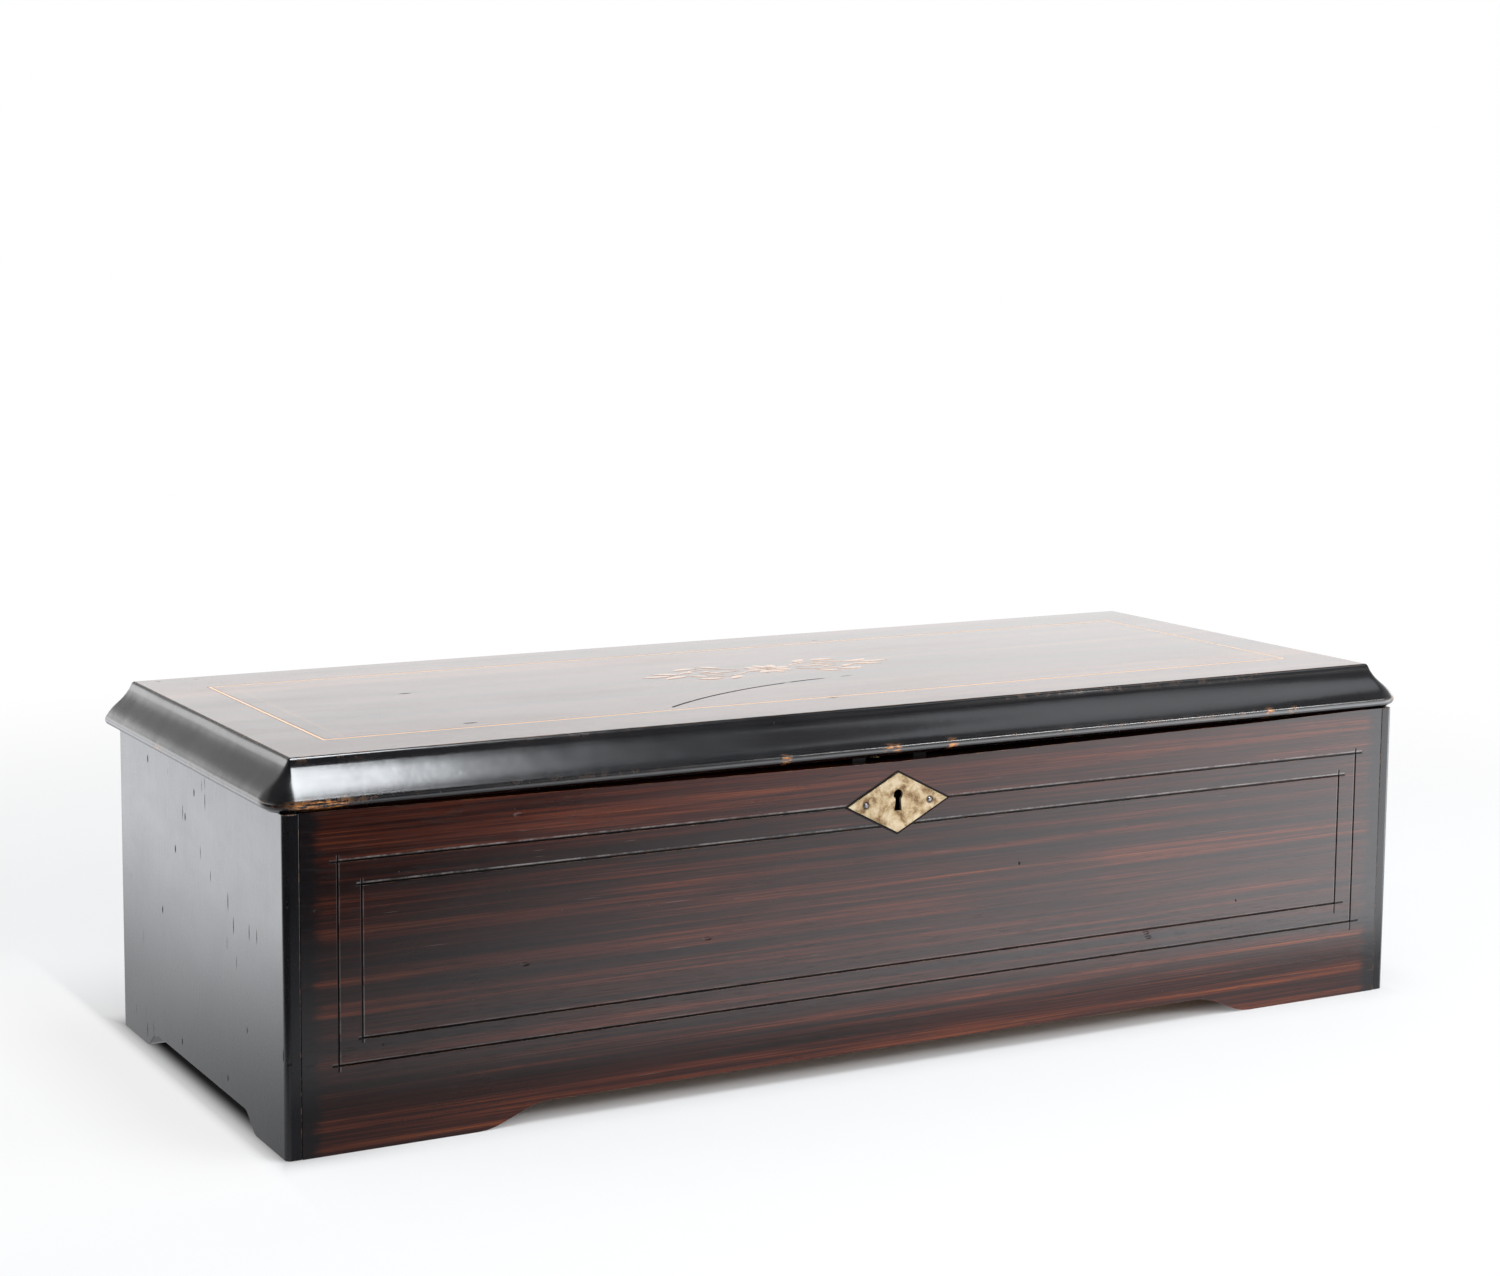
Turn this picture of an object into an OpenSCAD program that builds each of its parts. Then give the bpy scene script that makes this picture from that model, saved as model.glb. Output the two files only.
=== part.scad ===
// Cylinder music box in a wooden case: boards, moulded lid, glass inner lid,
// and a key-wound movement with barrel, pinned cylinder, comb and fan governor.
// Frame: X along the front, +Y to the back, +Z up, origin under the middle of the whole box.

/* [Case] */
// Outside length of the case, over the end boards
case_w = 504; // [496:1:560]
// Outside depth of the case, front face to back face
case_d = 196; // [194:1:230]
// Height of the case from the floor to the rim
case_h = 125; // [124:1:150]
// Thickness of the end boards
end_t = 11; // [9:0.5:12]
// Thickness of the front and back boards
front_t = 10; // [9:0.5:12]
// Depth of the rebate in an end board that takes the end of the front or back board
lap = 5; // [3:0.5:7]
// Radius of the upright corners of the case
corner_r = 2.4; // [1:0.1:4]
// Thickness of the bottom board
bottom_t = 8; // [6:0.5:9]
// Height of the bottom board's underside above the floor
bottom_rise = 11; // [10:0.5:12]
// Depth of the shallow finger relief in the top edge of the front board
finger_relief = 2.4; // [1:0.1:3]
// Distance of the relief's ends from the ends of the case
relief_inset = 20; // [14:1:30]
// Thickness of the two partitions
partition_t = 6; // [4:0.5:7]
// Length of the compartment at each end of the case, for the key and for the levers
compartment_l = 59; // [56:0.5:62]

/* [Apron arches] */
// Height of the arch cut under the front board
front_arch_h = 8; // [5:0.5:9]
// Width of each foot left at the ends of the front
front_foot_w = 74; // [50:1:100]
// Length of the ogee that leads into the front arch
front_ogee_l = 28; // [15:1:40]
// Height of the arch cut under each end board
end_arch_h = 7; // [4:0.5:9]
// Width of each foot left at the corners of an end board
end_foot_w = 32; // [22:1:45]
// Length of the ogee that leads into the end arch
end_ogee_l = 13; // [8:1:20]

/* [Scored lines] */
// Distance of the outer scored rectangle from the ends of the front
line_side = 20; // [14:0.5:30]
// Height of the outer rectangle's lower line above the floor
line_low = 32.4; // [24:0.2:36]
// Distance of the outer scored rectangle below the top of the case
line_top = 18.6; // [15:0.2:25]
// Distance between the outer and the inner rectangle
line_step = 9; // [6:0.5:12]
// Width of a scored line
line_w = 0.7; // [0.4:0.1:1]
// Depth of a scored line
line_depth = 0.4; // [0.2:0.1:0.8]

/* [Lid] */
// Height of the lid over the case rim
lid_t = 18; // [16:0.5:22]
// How far the lid stands out over both ends of the case
lid_overhang = 5.6; // [4:0.1:7]
// How far the lid stands out over the front of the case
lid_overhang_front = 1.5; // [0.8:0.1:6]
// Width of the moulding, nose to the edge of the lid board
moulding_w = 12.3; // [11:0.1:14]
// Radius of the moulding's round nose
nose_r = 2.3; // [1.8:0.1:2.8]
// Depth of the hollow in the lid's underside
lid_hollow = 5; // [4:0.5:7]
// Width of the rim left round that hollow
lid_rim = 20; // [16:1:26]
// Inset of the inlaid line from the ends of the lid board
inlay_inset = 22.3; // [15:0.1:40]
// Inset of the inlaid line from the front and back of the lid board
inlay_inset_y = 27; // [15:0.5:40]
// Width of the inlaid line
inlay_w = 1.3; // [0.8:0.1:2]
// Depth of the inlaid line
inlay_depth = 0.8; // [0.5:0.1:1.5]

/* [Lid hinges] */
// Distance of each hinge from the middle of the case
hinge_x = 170; // [120:1:200]
// Length of a hinge along its pin
hinge_l = 34; // [24:1:50]
// Radius of the hinge knuckle
knuckle_r = 2.2; // [2:0.1:3]
// Radius of the hinge pin
hinge_pin_r = 1; // [0.8:0.1:1.2]
// Thickness of a hinge leaf
leaf_t = 1.2; // [1:0.1:1.5]
// Depth of a hinge leaf, back face to its front edge
leaf_d = 9; // [7:0.5:9]

/* [Escutcheon and lock] */
// Width of the diamond escutcheon
escutcheon_w = 45.5; // [36:0.5:60]
// Height of the diamond escutcheon
escutcheon_h = 23.8; // [20:0.2:27]
// Thickness of the escutcheon plate
escutcheon_t = 1.2; // [0.8:0.1:2]
// Height of the plate's face over the front board
escutcheon_proud = 0.6; // [0.3:0.1:0.7]
// Radius of the keyhole's round end
keyhole_r = 2.1; // [1.5:0.1:2.5]
// Width of the keyhole's slot at its foot
keyhole_foot = 3.4; // [2:0.1:4]
// Length of the whole keyhole
keyhole_l = 8.6; // [7:0.1:10]
// Distance of each escutcheon pin from the middle of the keyhole
escutcheon_pin_x = 14.6; // [10:0.1:16]
// Radius of an escutcheon pin's head
escutcheon_pin_r = 1; // [0.6:0.1:1.4]
// Width of the lock case
lock_w = 50; // [42:1:60]
// Height of the lock case
lock_h = 32; // [28:1:34]
// Depth of the lock case
lock_t = 6; // [5.5:0.1:6.5]
// Travel of the lock bolt
bolt_travel = 4; // [3:0.5:5]

/* [Movement] */
// Thickness of the bedplate
bed_t = 5; // [4:0.5:6]
// Height of the feet under the bedplate
bed_foot_h = 8; // [6:0.5:9]
// Radius of the pinned cylinder's sleeve
cylinder_r = 26.5; // [26:0.1:26.8]
// Height of a pin over the sleeve
pin_h = 1; // [0.6:0.1:1]
// Radius of a pin
pin_r = 0.25; // [0.2:0.05:0.3]
// Number of pins shown on each tooth's track
pins_per_track = 3; // [1:1:4]
// Number of teeth in the comb
tooth_count = 72; // [60:1:74]
// Width of the saw cut between two teeth
tooth_gap = 0.55; // [0.3:0.05:0.9]
// Thickness of the comb's steel
comb_t = 2.2; // [1.5:0.1:2.6]
// Distance of the tooth tips from the pins
tip_clearance = 0.25; // [0.15:0.05:0.4]
// Length of the longest, lowest tooth
bass_tooth_l = 37; // [30:0.5:38]
// Length of the shortest, highest tooth
treble_tooth_l = 21; // [16:0.5:26]
// Number of tunes, and so of steps on the snail
tune_count = 8; // [6:1:8]
// Sideways shift of the cylinder from one tune to the next
tune_shift = 0.35; // [0.25:0.01:0.35]

/* [Wheels] */
// Room for the barrel's wheel over the bedplate and under the glass lid, both together
wheel_room = 5.6; // [5.6:0.1:9]
// Teeth of the barrel wheel
barrel_teeth = 60; // [58:1:60]
// Teeth of the cylinder's pinion
pinion_teeth = 12; // [12:1:13]
// Module of the cylinder's great wheel and the first governor pinion
great_module = 0.6; // [0.55:0.01:0.6]
// Teeth of the cylinder's great wheel
great_teeth = 80; // [76:1:80]
// Teeth of the first governor pinion
first_pinion_teeth = 10; // [10:1:11]
// Module of the first governor wheel and the second pinion
fine_module = 0.5; // [0.48:0.01:0.5]
// Teeth of the first governor wheel
first_wheel_teeth = 45; // [42:1:45]
// Teeth of the second governor pinion
second_pinion_teeth = 9; // [9:1:10]
// Module of the worm wheel
worm_module = 0.7; // [0.68:0.01:0.72]
// Teeth of the worm wheel
worm_teeth = 24; // [22:1:24]
// Share of a tooth's width that is left free as play
tooth_play = 0.07; // [0.05:0.01:0.12]

/* [Barrel and winding] */
// How far the barrel's wall lies inside the pitch circle of its wheel
barrel_inset = 3; // [3:0.5:6]
// Length of the spring barrel
barrel_l = 42; // [38:1:42]
// Wall of the spring barrel
barrel_wall = 2; // [1.5:0.1:3]
// Radius of the winding arbor
arbor_r = 5; // [4.5:0.1:5.5]
// Side of the winding square
square_side = 6.6; // [6:0.1:6.8]
// Length of the winding key
key_l = 45; // [42:0.5:46]
// Width across the wings of the key
key_wing_w = 44; // [34:1:50]
// Free travel that takes the key off the square
key_travel = 9; // [7:0.5:9]
// Teeth of the ratchet wheel
ratchet_teeth = 24; // [20:2:28]
// Radius of the ratchet wheel over its teeth
ratchet_r = 13; // [12.5:0.1:13.2]

/* [Glass lid] */
// Height of the glass lid's frame
glass_frame_t = 6; // [5:0.5:7]
// Width of the glass lid's frame bars
glass_bar_w = 14; // [10:0.5:18]
// Thickness of the glass
glass_t = 2; // [1.5:0.1:3]

/* [Hidden] */

$fn = 48;
slip = 0.05;        // radial play of a shaft in its bore
fit = 0.3;          // gap between loose pieces
half_w = case_w / 2;
half_d = case_d / 2;
hinge_y = half_d + knuckle_r + 0.2;
knuckle_out = hinge_y + knuckle_r - half_d;
case_y = (lid_overhang_front - knuckle_out) / 2;   // puts the origin under the middle of the whole box
inner_x = half_w - end_t;
inner_y = half_d - front_t;
floor_z = bottom_rise + bottom_t;            // inside floor of the case

// Heights of the movement
glass_drop = 13;                             // glass lid's underside below the case's top
bed_z = floor_z + bed_foot_h;
bed_top = bed_z + bed_t;
glass_z = case_h - glass_drop;
drive_module = (glass_z - bed_top - wheel_room) / (barrel_teeth + 2);
barrel_wheel_r = drive_module * barrel_teeth / 2;
barrel_r = barrel_wheel_r - barrel_inset;
axis_z = bed_top + barrel_wheel_r;

// The movement from left to right
partition_x = inner_x - compartment_l - partition_t;   // inner face of each partition
bed_gap = 5;                                 // from the bedplate to a partition
bed_x1 = partition_x - bed_gap;
bed_x0 = -bed_x1;
bed_y = 66;
bridge_inset = 3.5;                          // left bridge from the bedplate's edge
bridge_t = 4.5;
plate_gap = 1;
star_t = 2;
left_bridge_x = bed_x0 + bridge_inset;
ratchet_t = 3;
ratchet_x = left_bridge_x - fit - ratchet_t;
barrel_x0 = left_bridge_x + bridge_t + plate_gap + star_t;
barrel_x1 = barrel_x0 + barrel_l;
barrel_wheel_t = 5;
barrel_wheel_x = barrel_x1;
right_bridge_x = barrel_wheel_x + barrel_wheel_t + plate_gap;
comb_gap = 12;                               // from the right bridge to the comb
comb_x0 = right_bridge_x + comb_gap;
left_bracket_x = comb_x0 - 30;               // bearing of the cylinder's arbor, beside the barrel
governor_l = 23.6;                           // room for the governor on the bedplate
governor_x = bed_x1 - governor_l;            // left face of the governor's first plate
great_t = 3.5;
great_gap = 1.5;
great_x = governor_x - great_gap - great_t;
snail_room = 9;
sleeve_margin = 3;                           // how far the cylinder goes on past the comb
sleeve_x0 = comb_x0 - sleeve_margin;
sleeve_x1 = great_x - snail_room;
sleeve_l = sleeve_x1 - sleeve_x0;
comb_w = sleeve_l - 2 * sleeve_margin;
tooth_pitch = comb_w / tooth_count;
shift_range = tune_shift * (tune_count - 1);

// Axes of the wheels, as [y, z]
function polar(r, a) = [r * cos(a), r * sin(a)];
function mesh_distance(m, a, b) = m * (a + b) / 2;
cylinder_axis = [30, axis_z];
barrel_tilt = 176;                           // direction from the cylinder to the barrel
barrel_axis = cylinder_axis + polar(mesh_distance(drive_module, barrel_teeth, pinion_teeth), barrel_tilt);
first_axis = cylinder_axis - [mesh_distance(great_module, great_teeth, first_pinion_teeth), 0];
second_tilt = 155;                           // direction from the first to the second arbor
second_axis = first_axis + polar(mesh_distance(fine_module, first_wheel_teeth, second_pinion_teeth), second_tilt);
worm_r = 2.5;
worm_swing = 0.6;                            // how far the thread stands out from and sinks below worm_r
worm_wheel_r = worm_module * worm_teeth / 2;
fan_y = second_axis[0] - worm_wheel_r - worm_r - 0.2;
governor_plate_t = 2;
first_wheel_x = governor_x + governor_plate_t + 2;
worm_x = first_wheel_x + 6;
governor_x1 = worm_x + 5;                    // left face of the second plate
fan_wing_r = 9.5;
fan_wing_h = 13;
fan_z = second_axis[1] + 11;                 // underside of the fan's wings

// Screws that hold brackets to the bedplate, as [x, y]
screw_r = 1.6;
screw_head_r = 3;
flange_t = 3.5;
bracket_w = 16;
bridge_w = 40;
SCREWS = [[left_bridge_x + bridge_t + 7, barrel_axis[0] - 12], [left_bridge_x + bridge_t + 7, barrel_axis[0] + 12],
          [right_bridge_x + bridge_t + 7, barrel_axis[0] - 12], [right_bridge_x + bridge_t + 7, barrel_axis[0] + 9],
          [left_bracket_x - 6, cylinder_axis[0] + 10], [left_bracket_x - 6, cylinder_axis[0] - 1],
          [governor_x + 9, cylinder_axis[0] + 2], [governor_x + 9, cylinder_axis[0] + 14],
          [governor_x + 10, first_axis[0] + 5], [governor_x + 10, fan_y - 14]];

// The comb
tip_y = cylinder_axis[0] - cylinder_r - pin_h - tip_clearance;
comb_back_y = tip_y - bass_tooth_l - 2;
comb_front_y = comb_back_y - 13;
comb_base_t = 8;
comb_screw_r = 2.4;
comb_screw_y = (comb_back_y + comb_front_y) / 2;
comb_screw_n = 8;
function comb_screw_x(i) = comb_x0 + comb_w * (i + 0.5) / comb_screw_n;
function tooth_x(i) = comb_x0 + (i + 0.5) * tooth_pitch;
function tooth_l(i) = bass_tooth_l + (treble_tooth_l - bass_tooth_l) * pow(i / (tooth_count - 1), 0.8);

// Levers in the right compartment
lever_rod_r = 2;
start_rod = [fan_y - 13, second_axis[1] + 1];
change_rod = [cylinder_axis[0] + great_module * great_teeth / 2 + 6, axis_z];
control_x = partition_x + partition_t;
control_plate_t = 2;
lever_x = control_x + control_plate_t + fit;
lever_t = 2.5;
lever_h = 32;

// The glass lid
glass_back = inner_y - 8;
glass_front = -inner_y + 1;

// The lid
lid_half_w = half_w + lid_overhang;
board_half_w = lid_half_w - moulding_w;
board_front = -half_d - lid_overhang_front + moulding_w;
lid_top = case_h + lid_t;

// The lock and keyhole
line_high = case_h - line_top;
keyhole_z = line_high;
keyhole_lift = 1;                            // keyhole's middle over the middle of the diamond
lock_top = case_h - finger_relief - 0.2;

// ---------- shapes that repeat ----------

function arc(cx, cy, r, a0, a1, n) = [for (i = [0:n]) [cx + r * cos(a0 + (a1 - a0) * i / n), cy + r * sin(a0 + (a1 - a0) * i / n)]];

// A flat outline in Y and Z, made len long in X from x0
module along_x(x0, len) {
    translate([x0, 0, 0]) rotate([90, 0, 90]) linear_extrude(len) children();
}

module rod_x(x0, len, r, at) {
    translate([x0, at[0], at[1]]) rotate([0, 90, 0]) cylinder(h = len, r = r);
}

// Outline of an involute wheel with a tooth in direction phase
pressure = 25;
function involute(r, rb) = r <= rb ? 0 : (tan(acos(rb / r)) * 180 / PI - acos(rb / r));
module wheel_outline(m, teeth, addendum, phase) {
    rp = m * teeth / 2;
    rb = rp * cos(pressure);
    root = rp - 1.15 * m;
    half = 90 / teeth * (1 - tooth_play) + involute(rp, rb);
    radii = [root, max(rb, root), rp, rp + addendum * m];
    flank = [for (r = radii) [r, half - involute(r, rb)]];
    polygon([for (t = [0:teeth - 1]) let (c = phase + t * 360 / teeth)
             each concat([for (f = flank) polar(f[0], c - f[1])],
                         [for (i = [3:-1:0]) polar(flank[i][0], c + flank[i][1])])]);
}

// Half of the outline of an arch under a board: an ogee up from the foot, then flat to the middle
function ogee(x0, len, h, steps = 8) = [for (i = [0:steps]) [x0 + len * i / steps, h * (1 - cos(180 * i / steps)) / 2]];
module arch_outline(half, foot, ogee_l, h) {
    left = ogee(-half + foot, ogee_l, h);
    right = [for (i = [len(left) - 1:-1:0]) [-left[i][0], left[i][1]]];
    polygon(concat([[-half + foot, -1]], left, right, [[half - foot, -1]]));
}

module screw(at, head_r, head_h, shank_r, shank_l) {
    translate(at) difference() {
        union() {
            cylinder(h = head_h, r = head_r);
            translate([0, 0, -shank_l]) cylinder(h = shank_l + 0.1, r = shank_r);
        }
        translate([-head_r, -0.35, head_h - 0.6]) cube([2 * head_r, 0.7, 1]);
    }
}

// ---------- the case ----------

module end_board() {
    color("#1c1a1b") difference() {
        intersection() {
            translate([-half_w, 0, 0]) linear_extrude(case_h) {
                for (y = [-1, 1]) translate([corner_r, y * (half_d - corner_r)]) circle(corner_r);
                translate([corner_r, -half_d]) square([end_t - corner_r, case_d]);
                translate([0, -half_d + corner_r]) square([end_t, case_d - 2 * corner_r]);
            }
            along_x(-half_w, end_t) difference() {
                translate([-half_d, 0]) square([case_d, case_h]);
                arch_outline(half_d, end_foot_w, end_ogee_l, end_arch_h);
            }
        }
        for (side = [-1, 1])
            translate([-half_w + end_t - lap, side < 0 ? -half_d - 1 : half_d - front_t, -1])
                cube([lap + 1, front_t + 1, case_h + 2]);
    }
}

module end_left() end_board();
module end_right() mirror([1, 0, 0]) end_board();

relief_half = half_w - relief_inset;
function rim_z(x) = case_h - finger_relief * max(0, 1 - pow(x / relief_half, 2));

module keyhole_outline(grow = 0) {
    foot = keyhole_foot / 2 + grow;
    drop = keyhole_l - keyhole_r;
    circle(keyhole_r + grow);
    polygon([[-1 - grow, 0], [-foot, -drop - grow], [foot, -drop - grow], [1 + grow, 0]]);
}

module keyhole_cut(y0, len, grow = 0) {
    translate([0, y0 + len, keyhole_z + keyhole_l / 2 - keyhole_r + keyhole_lift]) rotate([90, 0, 0]) linear_extrude(len) keyhole_outline(grow);
}

module scored_rectangle(inset, low, high) {
    w = 2 * (half_w - inset);
    for (z = [low, high]) translate([-w / 2, -half_d - 1, z - line_w / 2]) cube([w, 1 + line_depth, line_w]);
    for (x = [-w / 2, w / 2]) translate([x - line_w / 2, -half_d - 1, low]) cube([line_w, 1 + line_depth, high - low]);
}

module escutcheon_outline(grow = 0) {
    a = escutcheon_w / 2 + grow;
    b = escutcheon_h / 2 + grow;
    polygon([[-a, 0], [0, -b], [a, 0], [0, b]]);
}

module front_board() {
    reach = half_w - end_t + lap - slip;
    xs = [for (i = [-12:12]) i * relief_half / 12];
    color("#4a1e18") difference() {
        translate([0, -half_d + front_t, 0]) rotate([90, 0, 0]) linear_extrude(front_t) difference() {
            polygon(concat([[-reach, 0], [-reach, case_h]], [for (x = xs) [x, rim_z(x)]], [[reach, case_h], [reach, 0]]));
            arch_outline(half_w, front_foot_w, front_ogee_l, front_arch_h);
        }
        scored_rectangle(line_side, line_low, line_high);
        scored_rectangle(line_side + line_step, line_low + line_step, line_high - line_step);
        translate([0, -half_d + escutcheon_t - escutcheon_proud, keyhole_z]) rotate([90, 0, 0])
            linear_extrude(escutcheon_t) escutcheon_outline();
        keyhole_cut(-half_d - 1, front_t + 2, 0.4);
        for (s = [-1, 1]) translate([s * escutcheon_pin_x, -half_d - 1, keyhole_z]) rotate([-90, 0, 0]) cylinder(h = front_t - lock_t + 1, r = 0.6);
        translate([-lock_w / 2 - slip, -half_d + front_t - lock_t, lock_top - lock_h - slip]) cube([lock_w + 2 * slip, lock_t + 1, case_h]);
    }
}

module back_board() {
    reach = half_w - end_t + lap - slip;
    color("#1c1a1b") difference() {
        translate([-reach, half_d - front_t, 0]) cube([2 * reach, front_t, case_h]);
        for (s = [-1, 1]) translate([s * hinge_x - hinge_l / 2 - slip, half_d - leaf_d, case_h - leaf_t]) cube([hinge_l + 2 * slip, leaf_d + 1, 2 * leaf_t]);
    }
}

module bottom_board() {
    color("#8a6a48") translate([-inner_x, -inner_y, bottom_rise]) cube([2 * inner_x, 2 * inner_y, bottom_t]);
}

// Three-sided blocks glued into the corner of bottom and board, behind each foot
module glue_blocks() {
    block_l = 30;
    rise = 1.5;                              // how far the blocks stay off the ground
    side = bottom_rise - rise;
    x = half_w - front_foot_w / 2;
    color("#a3845c") for (mx = [0, 1], my = [0, 1])
        mirror([mx, 0, 0]) mirror([0, my, 0]) translate([x - block_l / 2, 0, 0]) rotate([90, 0, 90]) linear_extrude(block_l)
            polygon([[inner_y, bottom_rise], [inner_y - side, bottom_rise], [inner_y, rise]]);
}

module partition_board(side) {
    hole_r = arbor_r + 3.5;
    color("#3a2a22") difference() {
        translate([side < 0 ? -partition_x - partition_t : partition_x, -inner_y, floor_z]) cube([partition_t, 2 * inner_y, glass_z + glass_frame_t - floor_z]);
        rod_x(side * partition_x - 5, 10, glass_pin_r + slip / 2, glass_pivot);
        if (side < 0) rod_x(-partition_x - partition_t - 1, partition_t + 2, hole_r, barrel_axis);
        if (side > 0) for (at = [start_rod, change_rod]) rod_x(partition_x - 1, partition_t + 2, lever_rod_r + 1, at);
    }
}

module partition_left() partition_board(-1);
module partition_right() partition_board(1);

// Strips that carry the glass lid: a ledge at the front, a hinge rail at the back
module glass_ledges() {
    color("#3a2a22") {
        translate([-partition_x, -inner_y, glass_z - 7]) cube([2 * partition_x, 7, 7]);
        translate([-partition_x, glass_back + fit, glass_z - 7]) cube([2 * partition_x, inner_y - glass_back - fit, 7 + glass_frame_t]);
    }
}

// ---------- escutcheon and lock ----------

module escutcheon() {
    color("#b39a5e") difference() {
        translate([0, -half_d + escutcheon_t - escutcheon_proud, keyhole_z]) rotate([90, 0, 0]) linear_extrude(escutcheon_t) escutcheon_outline(-slip);
        keyhole_cut(-half_d - 2, 5);
        for (s = [-1, 1]) translate([s * escutcheon_pin_x, -half_d - 2, keyhole_z]) rotate([-90, 0, 0]) cylinder(h = 5, r = 0.6);
    }
}

module escutcheon_pins() {
    color("#8e8a84") for (s = [-1, 1]) translate([s * escutcheon_pin_x, -half_d - escutcheon_proud, keyhole_z]) rotate([-90, 0, 0]) {
        translate([0, 0, -0.5]) cylinder(h = 0.5, r1 = escutcheon_pin_r * 0.6, r2 = escutcheon_pin_r, $fn = 24);
        cylinder(h = front_t - lock_t + escutcheon_proud - fit, r = 0.6 - slip, $fn = 24);
    }
}

lock_y = -half_d + front_t - lock_t;
lock_wall = 1.2;
hook_xs = [-14, 14];                         // middles of the keeper's two hooks
hook_w = 6;
hook_y = lock_y + 2.2;
hook_t = 2;
hook_lip = 2;
bolt_top = lock_top - 5;
bolt_h = 4;
bolt_tail_z = lock_top - lock_h + lock_wall + 4;
bolt_tail_h = 7;
module lock_case() {
    inside = [lock_w, lock_t, lock_h] - 2 * lock_wall * [1, 1, 1];
    color("#a8935a") difference() {
        translate([-lock_w / 2, lock_y, lock_top - lock_h]) cube([lock_w, lock_t, lock_h]);
        translate([-inside[0] / 2, lock_y + lock_wall, lock_top - lock_h + lock_wall]) cube(inside);
        for (x = hook_xs) translate([x - hook_w / 2 - 0.5, lock_y + lock_wall, lock_top - 3]) cube([hook_w + 1, inside[1], 5]);
        keyhole_cut(lock_y - 1, lock_wall + 1.5);
    }
}

// Sliding bolt: two heads that enter the keeper's hooks, on a tail with a notch for the key
module lock_bolt() {
    y0 = lock_y + lock_wall + fit;
    depth = lock_t - 2 * (lock_wall + fit);
    post_w = 2.4;
    color("#9c9a94") translate([0, y0 + depth, 0]) rotate([90, 0, 0]) linear_extrude(depth) {
        for (x = hook_xs) let (head_x = x - hook_w / 2 - 0.5, post = x - hook_w / 2 - bolt_travel - 0.3 - post_w) {
            translate([post, bolt_top - bolt_h]) square([head_x - post, bolt_h]);
            translate([post, bolt_tail_z]) square([post_w, bolt_top - bolt_tail_z]);
        }
        difference() {
            translate([hook_xs[0] - hook_w / 2 - bolt_travel - 0.3 - post_w, bolt_tail_z]) square([38, bolt_tail_h]);
            translate([-3, bolt_tail_z + bolt_tail_h - 3]) square([6, 4]);
        }
    }
}

keeper_w = 40;
keeper_t = 1.2;
module lock_keeper() {
    color("#a8935a") {
        translate([-keeper_w / 2, lock_y + fit, case_h]) cube([keeper_w, lock_t - 2 * fit, keeper_t]);
        for (x = hook_xs) translate([x - hook_w / 2, hook_y + hook_t, 0]) rotate([90, 0, 0]) linear_extrude(hook_t) difference() {
            translate([0, bolt_top - bolt_h - fit - hook_lip]) square([hook_w, case_h - bolt_top + bolt_h + fit + hook_lip]);
            translate([-1, bolt_top - bolt_h - fit]) square([hook_w - 1, bolt_h + 2 * fit]);
        }
    }
}

// Recess in the lid's underside, across the joint between board and moulding
module keeper_recess() {
    translate([-keeper_w / 2 - slip, lock_y + fit - slip, case_h - 1])
        cube([keeper_w + 2 * slip, lock_t - 2 * (fit - slip), 1 + keeper_t]);
}

// ---------- lid ----------

// Moulding in section: x outwards from the lid board's edge, y up from the rim.
// A round nose, an ogee leaning inwards, a steep step and a rounded top edge.
module moulding_outline() {
    nose = [moulding_w - nose_r, nose_r + 0.9];
    ogee_low = nose + polar(nose_r, 42);
    ogee_high = [2, lid_t - 2.9];
    wave = 0.55;
    polygon(concat([[0, 0], [nose[0] - 0.8, 0]],
                   arc(nose[0], nose[1], nose_r, -80, 42, 8),
                   [for (i = [1:8]) let (t = i / 8, p = ogee_low + t * (ogee_high - ogee_low))
                       p + wave * sin(360 * t) * [cos(45), sin(45)]],
                   [[1.1, lid_t - 1.1], [0.5, lid_t - 0.3], [0, lid_t]]));
}

// Everything on one side of the mitre plane through the lid board's front corner
module mitre_side(front) {
    size = 3 * moulding_w;
    translate([board_half_w, board_front, case_h - 1]) rotate([0, 0, -45])
        translate([-size, front ? -2 * size : 0, 0]) cube([3 * size, 2 * size, lid_t + 2]);
}

module lid_moulding_front() {
    reach = lid_half_w + 1;
    color("#161415") difference() {
        translate([-reach, board_front, case_h]) rotate([90, 0, 90]) linear_extrude(2 * reach) mirror([1, 0]) moulding_outline();
        for (s = [0, 1]) mirror([s, 0, 0]) mitre_side(false);
        keeper_recess();
    }
}

module lid_moulding_side() {
    color("#161415") difference() {
        translate([board_half_w, half_d, case_h]) rotate([90, 0, 0]) linear_extrude(half_d - board_front + moulding_w + 1) moulding_outline();
        mitre_side(true);
    }
}

module lid_moulding_right() lid_moulding_side();
module lid_moulding_left() mirror([1, 0, 0]) lid_moulding_side();

module inlay_ring(depth, grow = 0) {
    w = board_half_w - inlay_inset;
    y0 = board_front + inlay_inset_y;
    y1 = half_d - inlay_inset_y;
    translate([0, 0, lid_top - depth]) linear_extrude(depth + grow) difference() {
        translate([-w - grow, y0 - grow]) square([2 * (w + grow), y1 - y0 + 2 * grow]);
        translate([-w + inlay_w + grow, y0 + inlay_w + grow]) square([2 * (w - inlay_w - grow), y1 - y0 - 2 * (inlay_w + grow)]);
    }
}

module lid_board() {
    color("#5a3226") difference() {
        translate([-board_half_w, board_front, case_h]) cube([2 * board_half_w, half_d - board_front, lid_t]);
        translate([-half_w + lid_rim, -half_d + lid_rim, case_h - 1]) cube([case_w - 2 * lid_rim, case_d - 2 * lid_rim, lid_hollow + 1]);
        for (s = [-1, 1]) translate([s * hinge_x - hinge_l / 2 - slip, half_d - leaf_d, case_h - 1]) cube([hinge_l + 2 * slip, leaf_d + 1, leaf_t + 1]);
        keeper_recess();
        inlay_ring(inlay_depth, slip);
    }
}

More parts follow.
